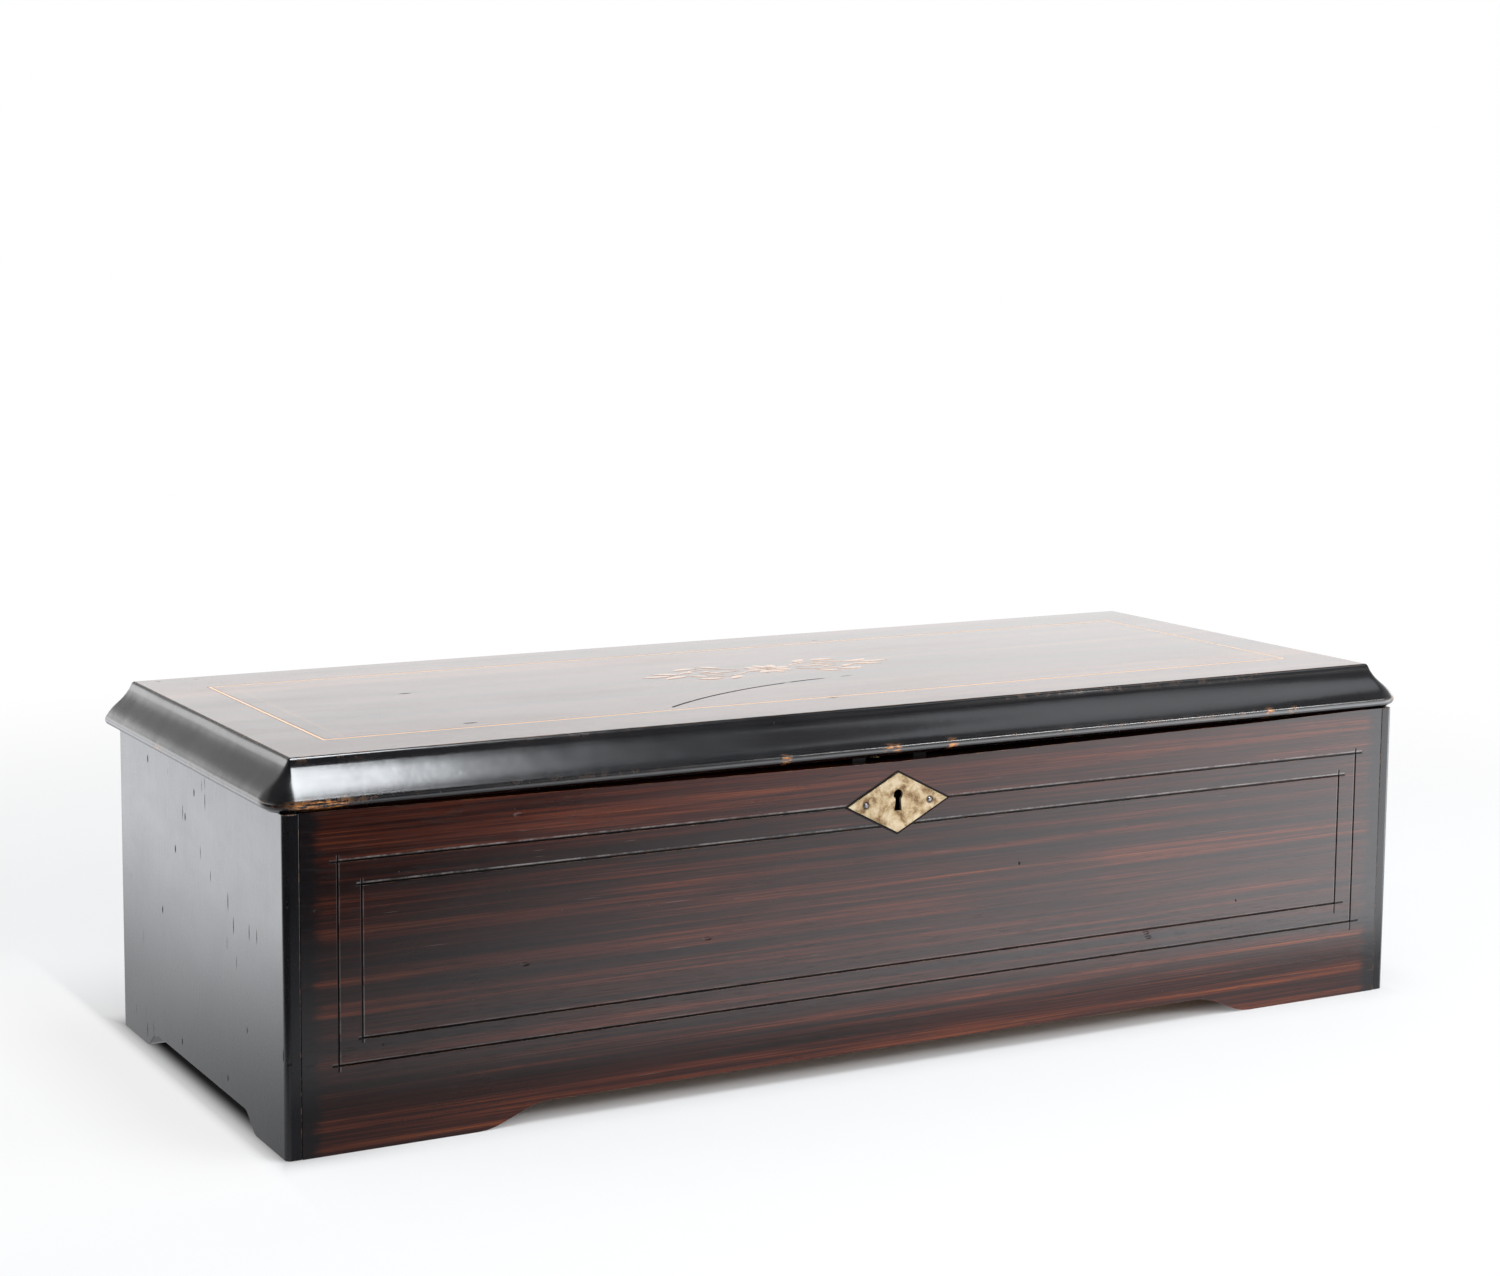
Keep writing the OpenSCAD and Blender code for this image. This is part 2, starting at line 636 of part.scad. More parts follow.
module lid_inlay_line() { color("#d9b27c") inlay_ring(inlay_depth); }

// ---------- lid hinges ----------

knuckles = 5;
module knuckle_row(parity) {
    seg = hinge_l / knuckles;
    for (i = [0:knuckles - 1]) if (i % 2 == parity)
        rod_x(-hinge_l / 2 + i * seg + 0.1, seg - 0.2, knuckle_r, [hinge_y, case_h]);
}

module hinge_half(parity, z0) {
    seg = hinge_l / knuckles;
    for (s = [-1, 1]) translate([s * hinge_x, 0, 0]) difference() {
        union() {
            translate([-hinge_l / 2, half_d - leaf_d, z0]) cube([hinge_l, leaf_d, leaf_t]);
            for (i = [0:knuckles - 1]) if (i % 2 == parity)
                translate([-hinge_l / 2 + i * seg + 0.1, half_d - 0.5, z0]) cube([seg - 0.2, knuckle_r + 0.5, leaf_t]);
            knuckle_row(parity);
        }
        rod_x(-hinge_l, 2 * hinge_l, hinge_pin_r + slip, [hinge_y, case_h]);
    }
}

module case_hinge_leaves() { color("#a8935a") hinge_half(0, case_h - leaf_t); }
module lid_hinge_leaves() { color("#a8935a") hinge_half(1, case_h); }

module hinge_pins() {
    color("#8e8a84") for (s = [-1, 1]) rod_x(s * hinge_x - hinge_l / 2, hinge_l, hinge_pin_r, [hinge_y, case_h]);
}

// ---------- glass lid ----------

glass_half_w = partition_x - fit;
glass_rebate = 4;
glass_pivot = [glass_back - glass_frame_t / 2, glass_z + glass_frame_t / 2];
glass_pin_r = 1.2;
module glass_lid_frame() {
    depth = glass_back - glass_front;
    inner = glass_bar_w - glass_rebate;
    color("#2a1f1b") difference() {
        union() {
            translate([-glass_half_w, glass_front, glass_z]) cube([2 * glass_half_w, depth - glass_frame_t / 2, glass_frame_t]);
            rod_x(-glass_half_w, 2 * glass_half_w, glass_frame_t / 2, glass_pivot);
        }
        translate([-glass_half_w + glass_bar_w, glass_front + glass_bar_w, glass_z - 1])
            cube([2 * (glass_half_w - glass_bar_w), depth - 2 * glass_bar_w, glass_frame_t + 2]);
        translate([-glass_half_w + inner, glass_front + inner, glass_z - 1])
            cube([2 * (glass_half_w - inner), depth - 2 * inner, 2 + glass_t]);
        for (s = [-1, 1]) rod_x(s * glass_half_w - 9, 18, glass_pin_r + slip, glass_pivot);
    }
}

module glass_pane() {
    inner = glass_bar_w - glass_rebate + 0.1;
    depth = glass_back - glass_front;
    color([0.8, 0.9, 0.88, 0.4]) translate([-glass_half_w + inner, glass_front + inner, glass_z + 1])
        cube([2 * (glass_half_w - inner), depth - 2 * inner, glass_t]);
}

module glass_lid_knob() {
    color("#b39a5e") translate([0, glass_front + glass_bar_w / 2, glass_z + glass_frame_t]) rotate_extrude()
        polygon(concat([[0, 0], [2.6, 0], [1.4, 1.2], [1.4, 1.8]], arc(0, 3.6, 2.4, -50, 90, 6)));
}

// Pins in the partitions that the glass lid turns on
module glass_hinges() {
    color("#b39a5e") for (s = [-1, 1]) rod_x(s * (partition_x - 1.5) - 6, 12, glass_pin_r, glass_pivot);
}

// ---------- bedplate and comb ----------

rail_y0 = comb_front_y;
rail_y1 = comb_back_y - 1;
rail_top = axis_z - comb_t / 2 - comb_base_t;
foot_xy = [[bed_x0 + 12, bed_y - 12], [bed_x0 + 12, -bed_y + 12], [bed_x1 - 10, bed_y - 9], [bed_x1 - 10, -bed_y + 9]];

module bedplate() {
    window_n = 4;
    window_w = comb_w / window_n - 14;
    window_h = (rail_top - bed_top) * 0.45;
    color("#c9b98a") difference() {
        union() {
            translate([bed_x0, -bed_y, bed_z]) cube([bed_x1 - bed_x0, 2 * bed_y, bed_t]);
            for (f = foot_xy) translate([f[0], f[1], floor_z]) cylinder(h = bed_foot_h + 1, r = 8);
            translate([comb_x0, rail_y0, bed_top - 0.1]) cube([comb_w, rail_y1 - rail_y0, rail_top - bed_top + 0.1]);
        }
        for (i = [0:window_n - 1]) translate([comb_x0 + comb_w * (i + 0.5) / window_n, rail_y1 + 1, bed_top])
            rotate([90, 0, 0]) linear_extrude(rail_y1 - rail_y0 + 2) {
                translate([-window_w / 2, 0]) square([window_w, window_h]);
                for (s = [-1, 1]) translate([s * (window_w / 2 - 5), window_h]) circle(5);
                translate([-window_w / 2 + 5, window_h]) square([window_w - 10, 5]);
            }
        for (i = [0:comb_screw_n - 1]) translate([comb_screw_x(i), comb_screw_y, rail_top - 9]) cylinder(h = 10, r = comb_screw_r + slip);
        for (s = SCREWS) translate([s[0], s[1], bed_z - 1]) cylinder(h = bed_t + 2, r = screw_r + slip);
        for (f = foot_xy) translate([f[0], f[1], floor_z - 1]) cylinder(h = bed_foot_h + bed_t + 2, r = bolt_r + slip);
    }
}

bolt_r = 2.5;
module bedplate_bolts() {
    color("#6d7f98") for (f = foot_xy) screw([f[0], f[1], bed_top], 5, 3, bolt_r, bed_t + bed_foot_h);
}

module comb_base() {
    color("#b8994f") difference() {
        translate([comb_x0, comb_front_y - 1.5, rail_top]) cube([comb_w, comb_back_y - comb_front_y + 1, comb_base_t]);
        for (i = [0:comb_screw_n - 1]) translate([comb_screw_x(i), comb_screw_y, rail_top - 1]) cylinder(h = comb_base_t + 2, r = comb_screw_r + slip);
    }
}

module comb_outline() {
    point_l = 2.6;
    point_w = 1.1;
    half = (tooth_pitch - tooth_gap) / 2;
    polygon(concat([[comb_x0, comb_front_y]],
        [for (i = [0:tooth_count - 1]) let (x = tooth_x(i), root = tip_y - tooth_l(i))
            each [[i == 0 ? comb_x0 : x - half, root], [x - half, tip_y - point_l], [x - point_w / 2, tip_y],
                  [x + point_w / 2, tip_y], [x + half, tip_y - point_l], [x + half, root]]],
        [[comb_x0 + comb_w, tip_y - treble_tooth_l], [comb_x0 + comb_w, comb_front_y]]));
}

module comb() {
    color("#a9aeb4") difference() {
        translate([0, 0, axis_z - comb_t / 2]) linear_extrude(comb_t) comb_outline();
        for (i = [0:comb_screw_n - 1]) translate([comb_screw_x(i), comb_screw_y, axis_z - comb_t]) cylinder(h = 2 * comb_t, r = comb_screw_r + slip);
    }
}

// Lead weights under the low teeth, smaller towards the treble
weight_n = 24;
module comb_weights() {
    color("#6f7276") for (i = [0:weight_n - 1]) let (h = 5.5 - 4 * i / weight_n)
        translate([tooth_x(i) - 1.1, tip_y - 12, axis_z - comb_t / 2 - h]) cube([2.2, 9, h]);
}

module comb_screws() {
    color("#5a6f92") for (i = [0:comb_screw_n - 1])
        screw([comb_screw_x(i), comb_screw_y, axis_z + comb_t / 2], 4.4, 2.6, comb_screw_r, comb_t + comb_base_t + 8.5);
}

// ---------- bridges and brackets ----------

// Upright plate with a round head about a bore, and a flange screwed to the bedplate
module upright(x0, t, at, w, flange_x, flange_w, flange_y, bore_r) {
    difference() {
        union() {
            along_x(x0, t) {
                translate([at[0] - w / 2, bed_top]) square([w, at[1] - bed_top]);
                translate(at) circle(w / 2);
            }
            translate([flange_x, flange_y[0], bed_top]) cube([flange_w, flange_y[1] - flange_y[0], flange_t]);
        }
        rod_x(x0 - 1, t + 2, bore_r + slip, at);
        for (s = SCREWS) translate([s[0], s[1], bed_top - 1]) cylinder(h = flange_t + 2, r = screw_r + slip);
    }
}

click_pivot = barrel_axis + [16, -14];
module barrel_bridge_left() {
    flange_w = bridge_t + 14;
    color("#c2a55c") difference() {
        upright(left_bridge_x, bridge_t, barrel_axis, bridge_w, left_bridge_x, flange_w, [barrel_axis[0] - 18, barrel_axis[0] + 18], arbor_r);
        rod_x(left_bridge_x - 1, bridge_t + 2, 1.5 + slip, click_pivot);
    }
}

module barrel_bridge_right() {
    color("#c2a55c") upright(right_bridge_x, bridge_t, barrel_axis, 28, right_bridge_x, bridge_t + 13,
                             [barrel_axis[0] - 18, barrel_axis[0] + 14], arbor_r);
}

cylinder_arbor_r = 3;
left_bracket_t = 5.5;
module arbor_bracket_left() {
    color("#c2a55c") upright(left_bracket_x, left_bracket_t, cylinder_axis, bracket_w, left_bracket_x - 12, 12 + left_bracket_t,
                             [cylinder_axis[0] - 5, cylinder_axis[0] + 16], cylinder_arbor_r);
}

right_bracket_x = governor_x + 1;
right_bracket_t = 4;
module arbor_bracket_right() {
    color("#c2a55c") difference() {
        union() {
            upright(right_bracket_x, right_bracket_t, cylinder_axis, bracket_w, right_bracket_x, 14,
                    [cylinder_axis[0] - 4, cylinder_axis[0] + 20], cylinder_arbor_r);
            along_x(right_bracket_x, right_bracket_t) {
                translate([cylinder_axis[0], axis_z - 5]) square([change_rod[0] - cylinder_axis[0], 10]);
                translate(change_rod) circle(5);
            }
        }
        rod_x(right_bracket_x - 1, right_bracket_t + 2, cylinder_arbor_r + slip, cylinder_axis);
        rod_x(right_bracket_x - 1, right_bracket_t + 2, lever_rod_r + slip, change_rod);
    }
}

module bridge_screws() {
    color("#5a6f92") for (s = SCREWS) screw([s[0], s[1], bed_top + flange_t], screw_head_r, 1.5, screw_r, flange_t + bed_t - 0.5);
}

// ---------- governor ----------

governor_y0 = fan_y - 7;
governor_y1 = first_axis[0] + 9;
governor_top = fan_z - 2;
bearing_z = fan_z + fan_wing_h + 3;
post_x = worm_x + fan_wing_r + 1.5;
pivot_r = 1;
module governor_frame() {
    plate_w = governor_y1 - governor_y0;
    color("#c2a55c") difference() {
        union() {
            for (x = [governor_x, governor_x1]) translate([x, governor_y0, bed_top]) cube([governor_plate_t, plate_w, governor_top - bed_top]);
            translate([governor_x, governor_y0 - 12, bed_top]) cube([bed_x1 - governor_x, plate_w + 12, flange_t]);
            translate([governor_x1, start_rod[0] - 5, bed_top]) cube([governor_plate_t, 16, start_rod[1] + 5 - bed_top]);
            translate([post_x, fan_y - 4, bed_top]) cube([bed_x1 - post_x, 8, bearing_z + 3 - bed_top]);
            translate([worm_x - 4, fan_y - 4, bearing_z]) cube([bed_x1 - worm_x + 4, 8, 3]);
            translate([governor_x + 1, fan_y - 3, second_axis[1] - 18]) cube([governor_x1 - governor_x, 6, 4]);
        }
        rod_x(governor_x - 1, governor_x1 - governor_x + 6, pivot_r + slip, first_axis);
        rod_x(governor_x - 1, governor_x1 - governor_x + 6, pivot_r + slip, second_axis);
        rod_x(governor_x1 - 1, 5, lever_rod_r + slip, start_rod);
        translate([worm_x, fan_y, second_axis[1] - 16]) cylinder(h = 3, r = pivot_r + slip);
        translate([worm_x, fan_y, bearing_z - 1]) cylinder(h = 3, r = pivot_r + slip);
        for (s = SCREWS) translate([s[0], s[1], bed_top - 1]) cylinder(h = flange_t + 2, r = screw_r + slip);
    }
}

module governor_first_arbor() {
    wheel_t = 1.5;
    color("#c9a94f") {
        rod_x(great_x - 0.5, governor_x1 + governor_plate_t - great_x + 0.5, pivot_r, first_axis);
        translate([0, first_axis[0], first_axis[1]]) along_x(great_x - 0.3, great_t + 0.6)
            wheel_outline(great_module, first_pinion_teeth, 0.8, 180 / first_pinion_teeth);
        translate([0, first_axis[0], first_axis[1]]) along_x(first_wheel_x, wheel_t)
            wheel_outline(fine_module, first_wheel_teeth, 0.7, second_tilt);
    }
}

// Worm wheel: pointed teeth, with a gap facing the worm
module worm_wheel_outline() {
    tip = worm_wheel_r + 0.45;
    root = worm_wheel_r - 0.65;
    step = 360 / worm_teeth;
    polygon([for (t = [0:worm_teeth - 1]) let (c = 180 + (t + 0.5) * step)
        each [polar(root, c - step * 0.22), polar(tip, c - step * 0.07), polar(tip, c + step * 0.07), polar(root, c + step * 0.22)]]);
}

module governor_second_arbor() {
    wheel_t = 1.2;
    color("#c9a94f") {
        rod_x(governor_x, governor_x1 + governor_plate_t - governor_x, pivot_r, second_axis);
        translate([0, second_axis[0], second_axis[1]]) {
            along_x(first_wheel_x - 0.5, 2.5) wheel_outline(fine_module, second_pinion_teeth, 0.8, second_tilt + 180 + 180 / second_pinion_teeth);
            along_x(worm_x - wheel_t / 2, wheel_t) worm_wheel_outline();
        }
    }
}

// Upright spindle with the worm and two thin wings
worm_turns = 5;
module fan_spindle() {
    lead = PI * worm_module;
    worm_l = worm_turns * lead;
    color("#b9bcc0") translate([worm_x, fan_y, 0]) {
        translate([0, 0, second_axis[1] - 15.7]) cylinder(h = bearing_z + 1.5 - second_axis[1] + 15.7, r = pivot_r, $fn = 24);
        translate([0, 0, second_axis[1] - worm_l / 2]) linear_extrude(worm_l, twist = -360 * worm_turns, slices = 10 * worm_turns)
            rotate(90 - 180 * worm_turns) translate([worm_swing, 0]) circle(worm_r, $fn = 10);
        translate([-fan_wing_r, -0.2, fan_z]) cube([2 * fan_wing_r, 0.4, fan_wing_h]);
        translate([0, 0, fan_z + fan_wing_h / 2 - 2]) cylinder(h = 4, r = 2, $fn = 24);
    }
}

// ---------- control levers ----------

// Hand lever on a rod, with a finger at the rod's other end
module hand_lever(at, rod_x0, finger_l, finger_a) {
    rod_x(rod_x0, lever_x + lever_t - rod_x0, lever_rod_r, at);
    along_x(lever_x, lever_t) {
        translate(at) circle(5);
        translate([at[0] - 2.5, at[1]]) square([5, lever_h - 6]);
    }
    translate([lever_x + lever_t / 2 + 1, at[0], at[1] + lever_h - 4]) sphere(3.4);
    translate([rod_x0, at[0], at[1]]) rotate([finger_a, 0, 0]) translate([0, -1, 0]) cube([2, 2, finger_l]);
}

stop_finger_l = 20;
change_finger_l = 20;
module start_stop_lever() { color("#c2a55c") hand_lever(start_rod, worm_x - 1, stop_finger_l, 0); }
module change_lever() { color("#c2a55c") hand_lever(change_rod, great_x - 2.9, change_finger_l, 34); }

module control_plates() {
    color("#c2a55c") for (at = [start_rod, change_rod]) difference() {
        along_x(control_x, control_plate_t) translate([at[0] - 14, at[1] - 12]) square([28, 24]);
        rod_x(control_x - 1, control_plate_t + 2, lever_rod_r + slip, at);
    }
}

// ---------- winding ----------

square_x0 = -partition_x - partition_t - 10;
stop_disc_r = 12.3;
module winding_arbor() {
    hub_r = 8;
    color("#a9aeb4") {
        rod_x(-partition_x - 2, right_bridge_x + bridge_t + 1 + partition_x + 2, arbor_r, barrel_axis);
        rod_x(barrel_x0 + barrel_wall + 1, barrel_l - 2 * barrel_wall - 2, hub_r, barrel_axis);
        rod_x(barrel_x0 - star_t, star_t - fit, stop_disc_r, barrel_axis);
        translate([square_x0, barrel_axis[0] - square_side / 2, barrel_axis[1] - square_side / 2])
            cube([-partition_x - 1.5 - square_x0, square_side, square_side]);
    }
}

module ratchet_wheel() {
    step = 360 / ratchet_teeth;
    depth = 1.6;
    color("#a9aeb4") difference() {
        translate([0, barrel_axis[0], barrel_axis[1]]) along_x(ratchet_x, ratchet_t)
            polygon([for (t = [0:ratchet_teeth - 1]) let (a = t * step)
                each [polar(ratchet_r - depth, a), polar(ratchet_r, a + step * 0.04)]]);
        rod_x(ratchet_x - 1, ratchet_t + 2, arbor_r + slip / 2, barrel_axis);
    }
}

// Pawl on the left bridge, its nose just clear of the ratchet's teeth
module click() {
    nose = barrel_axis + [ratchet_r + 0.25, 0];
    color("#a9aeb4") union() {
        along_x(ratchet_x + 0.2, ratchet_t - 0.4) {
            translate(click_pivot) circle(3.2);
            polygon([nose, nose + [1.3, 1.6], click_pivot + [3.1, 0.8], click_pivot + [-3, 1]]);
        }
        rod_x(ratchet_x - 1, left_bridge_x + bridge_t - ratchet_x + 1, 1.5, click_pivot);
    }
}

module click_spring() {
    color("#5a6f92") along_x(ratchet_x + 0.6, left_bridge_x - ratchet_x - 0.6)
        polygon([click_pivot + [3.7, -4], click_pivot + [4.5, -4], click_pivot + [4.2, 12], click_pivot + [3.6, 12]]);
}

key_x0 = -partition_x - partition_t - 2;
module key() {
    socket_l = 22;
    socket_r = 6.8;
    stem_r = 3;
    wing_t = 3;
    wing_l = key_l - socket_l;
    color("#8f7c4c") difference() {
        union() {
            rod_x(key_x0 - socket_l, socket_l, socket_r, barrel_axis);
            rod_x(key_x0 - key_l + 4, key_l - 5, stem_r, barrel_axis);
            translate([key_x0 - key_l, barrel_axis[0], barrel_axis[1] - wing_t / 2]) linear_extrude(wing_t) {
                for (s = [-1, 1]) translate([wing_l / 2 - 1, s * (key_wing_w / 2 - wing_l / 2 + 1)]) circle(wing_l / 2 - 1);
                translate([wing_l / 2 - 6, -key_wing_w / 4]) square([10, key_wing_w / 2]);
            }
        }
        for (s = [-1, 1]) translate([key_x0 - key_l + wing_l / 2 - 1, barrel_axis[0] + s * (key_wing_w / 2 - wing_l / 2 + 1), barrel_axis[1] - wing_t])
            cylinder(h = 2 * wing_t, r = wing_l / 2 - 6);
        translate([key_x0 - 14, barrel_axis[0] - square_side / 2 - 0.1, barrel_axis[1] - square_side / 2 - 0.1])
            cube([15, square_side + 0.2, square_side + 0.2]);
    }
}

// ---------- barrel ----------

module barrel_drum() {
    color("#c9a94f") difference() {
        rod_x(barrel_x0 + barrel_wall, barrel_l - barrel_wall, barrel_r, barrel_axis);
        rod_x(barrel_x0, barrel_l - barrel_wall, barrel_r - barrel_wall, barrel_axis);
        rod_x(barrel_x0, barrel_l + 1, arbor_r + slip, barrel_axis);
    }
}

module barrel_cap() {
    color("#c9a94f") difference() {
        rod_x(barrel_x0, barrel_wall, barrel_r, barrel_axis);
        rod_x(barrel_x0 - 1, barrel_wall + 2, arbor_r + slip, barrel_axis);
    }
}

module barrel_wheel() {
    color("#c9a94f") difference() {
        translate([0, barrel_axis[0], barrel_axis[1]]) along_x(barrel_wheel_x, barrel_wheel_t)
            wheel_outline(drive_module, barrel_teeth, 0.7, barrel_tilt + 180);
        rod_x(barrel_wheel_x - 1, barrel_wheel_t + 2, arbor_r + slip, barrel_axis);
    }
}

// Coiled strip between the arbor's hub and the barrel's wall
module mainspring() {
    turns = 7;
    strip = 0.8;
    r0 = 8 + 1;
    r1 = barrel_r - barrel_wall - 0.1;
    steps = turns * 20;
    spiral = [for (i = [0:steps]) [r0 + (r1 - strip - r0) * i / steps, 360 * turns * i / steps]];
    color("#4d5a73") translate([0, barrel_axis[0], barrel_axis[1]]) along_x(barrel_x0 + barrel_wall + 1, barrel_l - 2 * barrel_wall - 2)
        polygon(concat([for (p = spiral) polar(p[0], p[1])],
                       [for (i = [steps:-1:0]) polar(spiral[i][0] + strip, spiral[i][1])]));
}

star_r = 8.6;
star_offset = 20;
module stopwork_star() {
    arms = 5;
    color("#a9aeb4") translate([0, barrel_axis[0], barrel_axis[1] + star_offset]) along_x(barrel_x0 - star_t, star_t) difference() {
        circle(star_r);
        for (i = [0:arms - 1]) {
            translate(polar(star_offset, -90 + i * 360 / arms)) circle(stop_disc_r + 0.5);
            rotate(-54 + i * 360 / arms) translate([5, -1]) square([6, 2]);
        }
    }
}

// ---------- cylinder ----------

sleeve_wall = 1.4;
module cylinder_arbor() {
    color("#a9aeb4") {
        rod_x(left_bracket_x - 1, right_bracket_x + right_bracket_t + 1 - left_bracket_x + 1, cylinder_arbor_r, cylinder_axis);
        translate([0, cylinder_axis[0], cylinder_axis[1]]) along_x(barrel_wheel_x - 0.5, barrel_wheel_t + 1)
            wheel_outline(drive_module, pinion_teeth, 0.8, barrel_tilt + 180 / pinion_teeth);
    }
}

snail_orbit = 14;
snail_axis = cylinder_axis + [0, snail_orbit];
snail_pin_r = 4.4;
snail_star_t = 1.6;
snail_base_t = 1.4;
follower_x = great_x - snail_star_t - snail_base_t - 0.8;
module great_wheel() {
    color("#c9a94f") difference() {
        translate([0, cylinder_axis[0], cylinder_axis[1]]) along_x(great_x, great_t)
            wheel_outline(great_module, great_teeth, 0.7, 180);
        rod_x(great_x - 1, great_t + 2, cylinder_arbor_r + slip / 2, cylinder_axis);
        rod_x(great_x - 1, great_t + 2, 1 + slip, snail_axis);
        rod_x(great_x - 1, great_t + 2, 1.2, cylinder_axis - [0, great_module * great_teeth / 2 - 3]);
    }
}

module cylinder_sleeve() {
    color("#d1b25a") difference() {
        rod_x(sleeve_x0, sleeve_l, cylinder_r, cylinder_axis);
        rod_x(sleeve_x0 - 1, sleeve_l + 2, cylinder_r - sleeve_wall, cylinder_axis);
    }
}

head_t = 3;
module cylinder_heads() {
    pin_at = snail_axis + [0, -snail_pin_r];
    color("#c9a94f") {
        for (x = [sleeve_x0 + 1, sleeve_x1 - 1 - head_t]) difference() {
            union() {
                rod_x(x, head_t, cylinder_r - sleeve_wall - slip / 2, cylinder_axis);
                rod_x(x - (x < 0 ? 0.9 : 0), head_t + 0.9, 6.5, cylinder_axis);
            }
            rod_x(x - 2, head_t + 4, cylinder_arbor_r + slip, cylinder_axis);
        }
        rod_x(sleeve_x1 - 1 - head_t / 2, follower_x - sleeve_x1 + 1 + head_t / 2, 0.8, pin_at);
    }
}

// Pins in a scattered pattern, each on the track of one tooth and one tune
function scatter(i, j) = let (s = sin(i * 97.3 + j * 211.7) * 4375.85) s - floor(s);
module cylinder_pins() {
    sink = 0.005;
    color("#c3c6c9") for (i = [0:tooth_count - 1]) for (j = [0:pins_per_track - 1])
        translate([tooth_x(i) + tune_shift * floor(tune_count * scatter(j + 5, i)), cylinder_axis[0], cylinder_axis[1]])
            rotate([360 * scatter(i, j), 0, 0]) translate([0, 0, cylinder_r - sink]) cylinder(h = pin_h + sink, r = pin_r, $fn = 16);
}

// Star wheel with a flight of steps on its face, one for each tune
snail_r = 6;
snail_hub_r = 1.8;
module tune_snail() {
    step_a = 360 / tune_count;
    base_top = snail_star_t + snail_base_t;
    color("#a9aeb4") translate([great_x, snail_axis[0], snail_axis[1]]) rotate([0, -90, 0]) {
        linear_extrude(snail_star_t) difference() {
            circle(snail_r + 1.6);
            for (i = [0:tune_count - 1]) rotate(step_a * (i + 0.5)) translate([snail_r + 2.4, 0]) circle(2.1);
        }
        translate([0, 0, snail_star_t / 2]) cylinder(h = base_top - snail_star_t / 2, r = snail_r);
        for (i = [1:tune_count - 1]) translate([0, 0, snail_star_t + i * slip])
            linear_extrude(snail_base_t + (tune_shift - slip) * i)
                polygon(concat([[0, 0]], arc(0, 0, snail_r - 0.15 * i, 180 + step_a * (i - 0.5), 540 - step_a / 2 - i, 3 * (tune_count - i))));
        translate([0, 0, slip]) cylinder(h = base_top + tune_shift * tune_count - slip, r = snail_hub_r);
        translate([0, 0, -great_t]) cylinder(h = great_t + 1, r = 1);
    }
}

// ---------- the parts ----------

module placed() { translate([0, case_y, 0]) children(); }

placed() end_left();
placed() end_right();
placed() front_board();
placed() back_board();
placed() bottom_board();
placed() glue_blocks();
placed() escutcheon();
placed() escutcheon_pins();
placed() lock_case();
placed() lock_bolt();
placed() partition_left();
placed() partition_right();
placed() glass_ledges();
placed() case_hinge_leaves();
placed() hinge_pins();
placed() bedplate();
placed() bedplate_bolts();
placed() comb_base();
placed() comb();
placed() comb_weights();
placed() comb_screws();
placed() barrel_bridge_left();
placed() barrel_bridge_right();
placed() arbor_bracket_left();
placed() arbor_bracket_right();
placed() governor_frame();
placed() bridge_screws();
placed() control_plates();
placed() click_spring();
placed() lid_board();
placed() lid_moulding_front();
placed() lid_moulding_left();
placed() lid_moulding_right();
placed() lid_inlay_line();
placed() lid_hinge_leaves();
placed() lock_keeper();
placed() glass_lid_frame();
placed() glass_pane();
placed() glass_lid_knob();
placed() glass_hinges();
placed() winding_arbor();
placed() ratchet_wheel();
placed() key();
placed() click();
placed() barrel_drum();
placed() barrel_cap();
placed() barrel_wheel();
placed() mainspring();
placed() stopwork_star();
placed() cylinder_arbor();
placed() great_wheel();
placed() cylinder_sleeve();
placed() cylinder_heads();
placed() cylinder_pins();
placed() tune_snail();
placed() governor_first_arbor();
placed() governor_second_arbor();
placed() fan_spindle();
placed() start_stop_lever();
placed() change_lever();
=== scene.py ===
"""Looks of a key-wound cylinder music box in its long ebonised case.

The solids of the frame carry the shape. This file gives every one of them its
finish, rounds and wears the boards of the case, runs the lid's mouldings as
smooth sweeps, lays the marquetry into the lid, pins the cylinder, and sets up
the studio. Lengths are in metres, X to the right, Y to the back, Z up.
"""

import logging
from collections.abc import Sequence
from dataclasses import dataclass, field
from enum import Enum
from math import cos, pi, radians, sin

import bmesh
import bpy
import numpy as np
from mathutils import Matrix, Vector


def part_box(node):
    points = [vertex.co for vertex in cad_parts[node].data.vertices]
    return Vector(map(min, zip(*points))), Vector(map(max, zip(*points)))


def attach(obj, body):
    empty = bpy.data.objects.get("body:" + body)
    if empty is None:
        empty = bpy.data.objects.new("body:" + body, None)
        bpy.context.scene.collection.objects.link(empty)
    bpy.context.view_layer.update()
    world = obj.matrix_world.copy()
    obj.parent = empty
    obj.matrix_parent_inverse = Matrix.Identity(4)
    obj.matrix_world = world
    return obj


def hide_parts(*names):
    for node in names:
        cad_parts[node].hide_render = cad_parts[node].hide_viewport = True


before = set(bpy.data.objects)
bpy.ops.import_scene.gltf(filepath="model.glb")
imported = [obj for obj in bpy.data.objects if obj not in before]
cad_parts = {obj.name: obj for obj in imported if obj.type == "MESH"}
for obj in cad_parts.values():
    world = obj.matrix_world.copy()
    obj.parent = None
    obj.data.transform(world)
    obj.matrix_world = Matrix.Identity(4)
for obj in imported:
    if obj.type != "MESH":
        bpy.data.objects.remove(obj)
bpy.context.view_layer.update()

MM = 0.001
log = logging.getLogger("music_box")

Colour = tuple[float, float, float]
Scale = float | Sequence[float]
Socket = bpy.types.NodeSocket
WHITE: Colour = (1.0, 1.0, 1.0)
COOL: Colour = (0.92, 0.96, 1.0)


# ---------------------------------------------------------------- node graphs


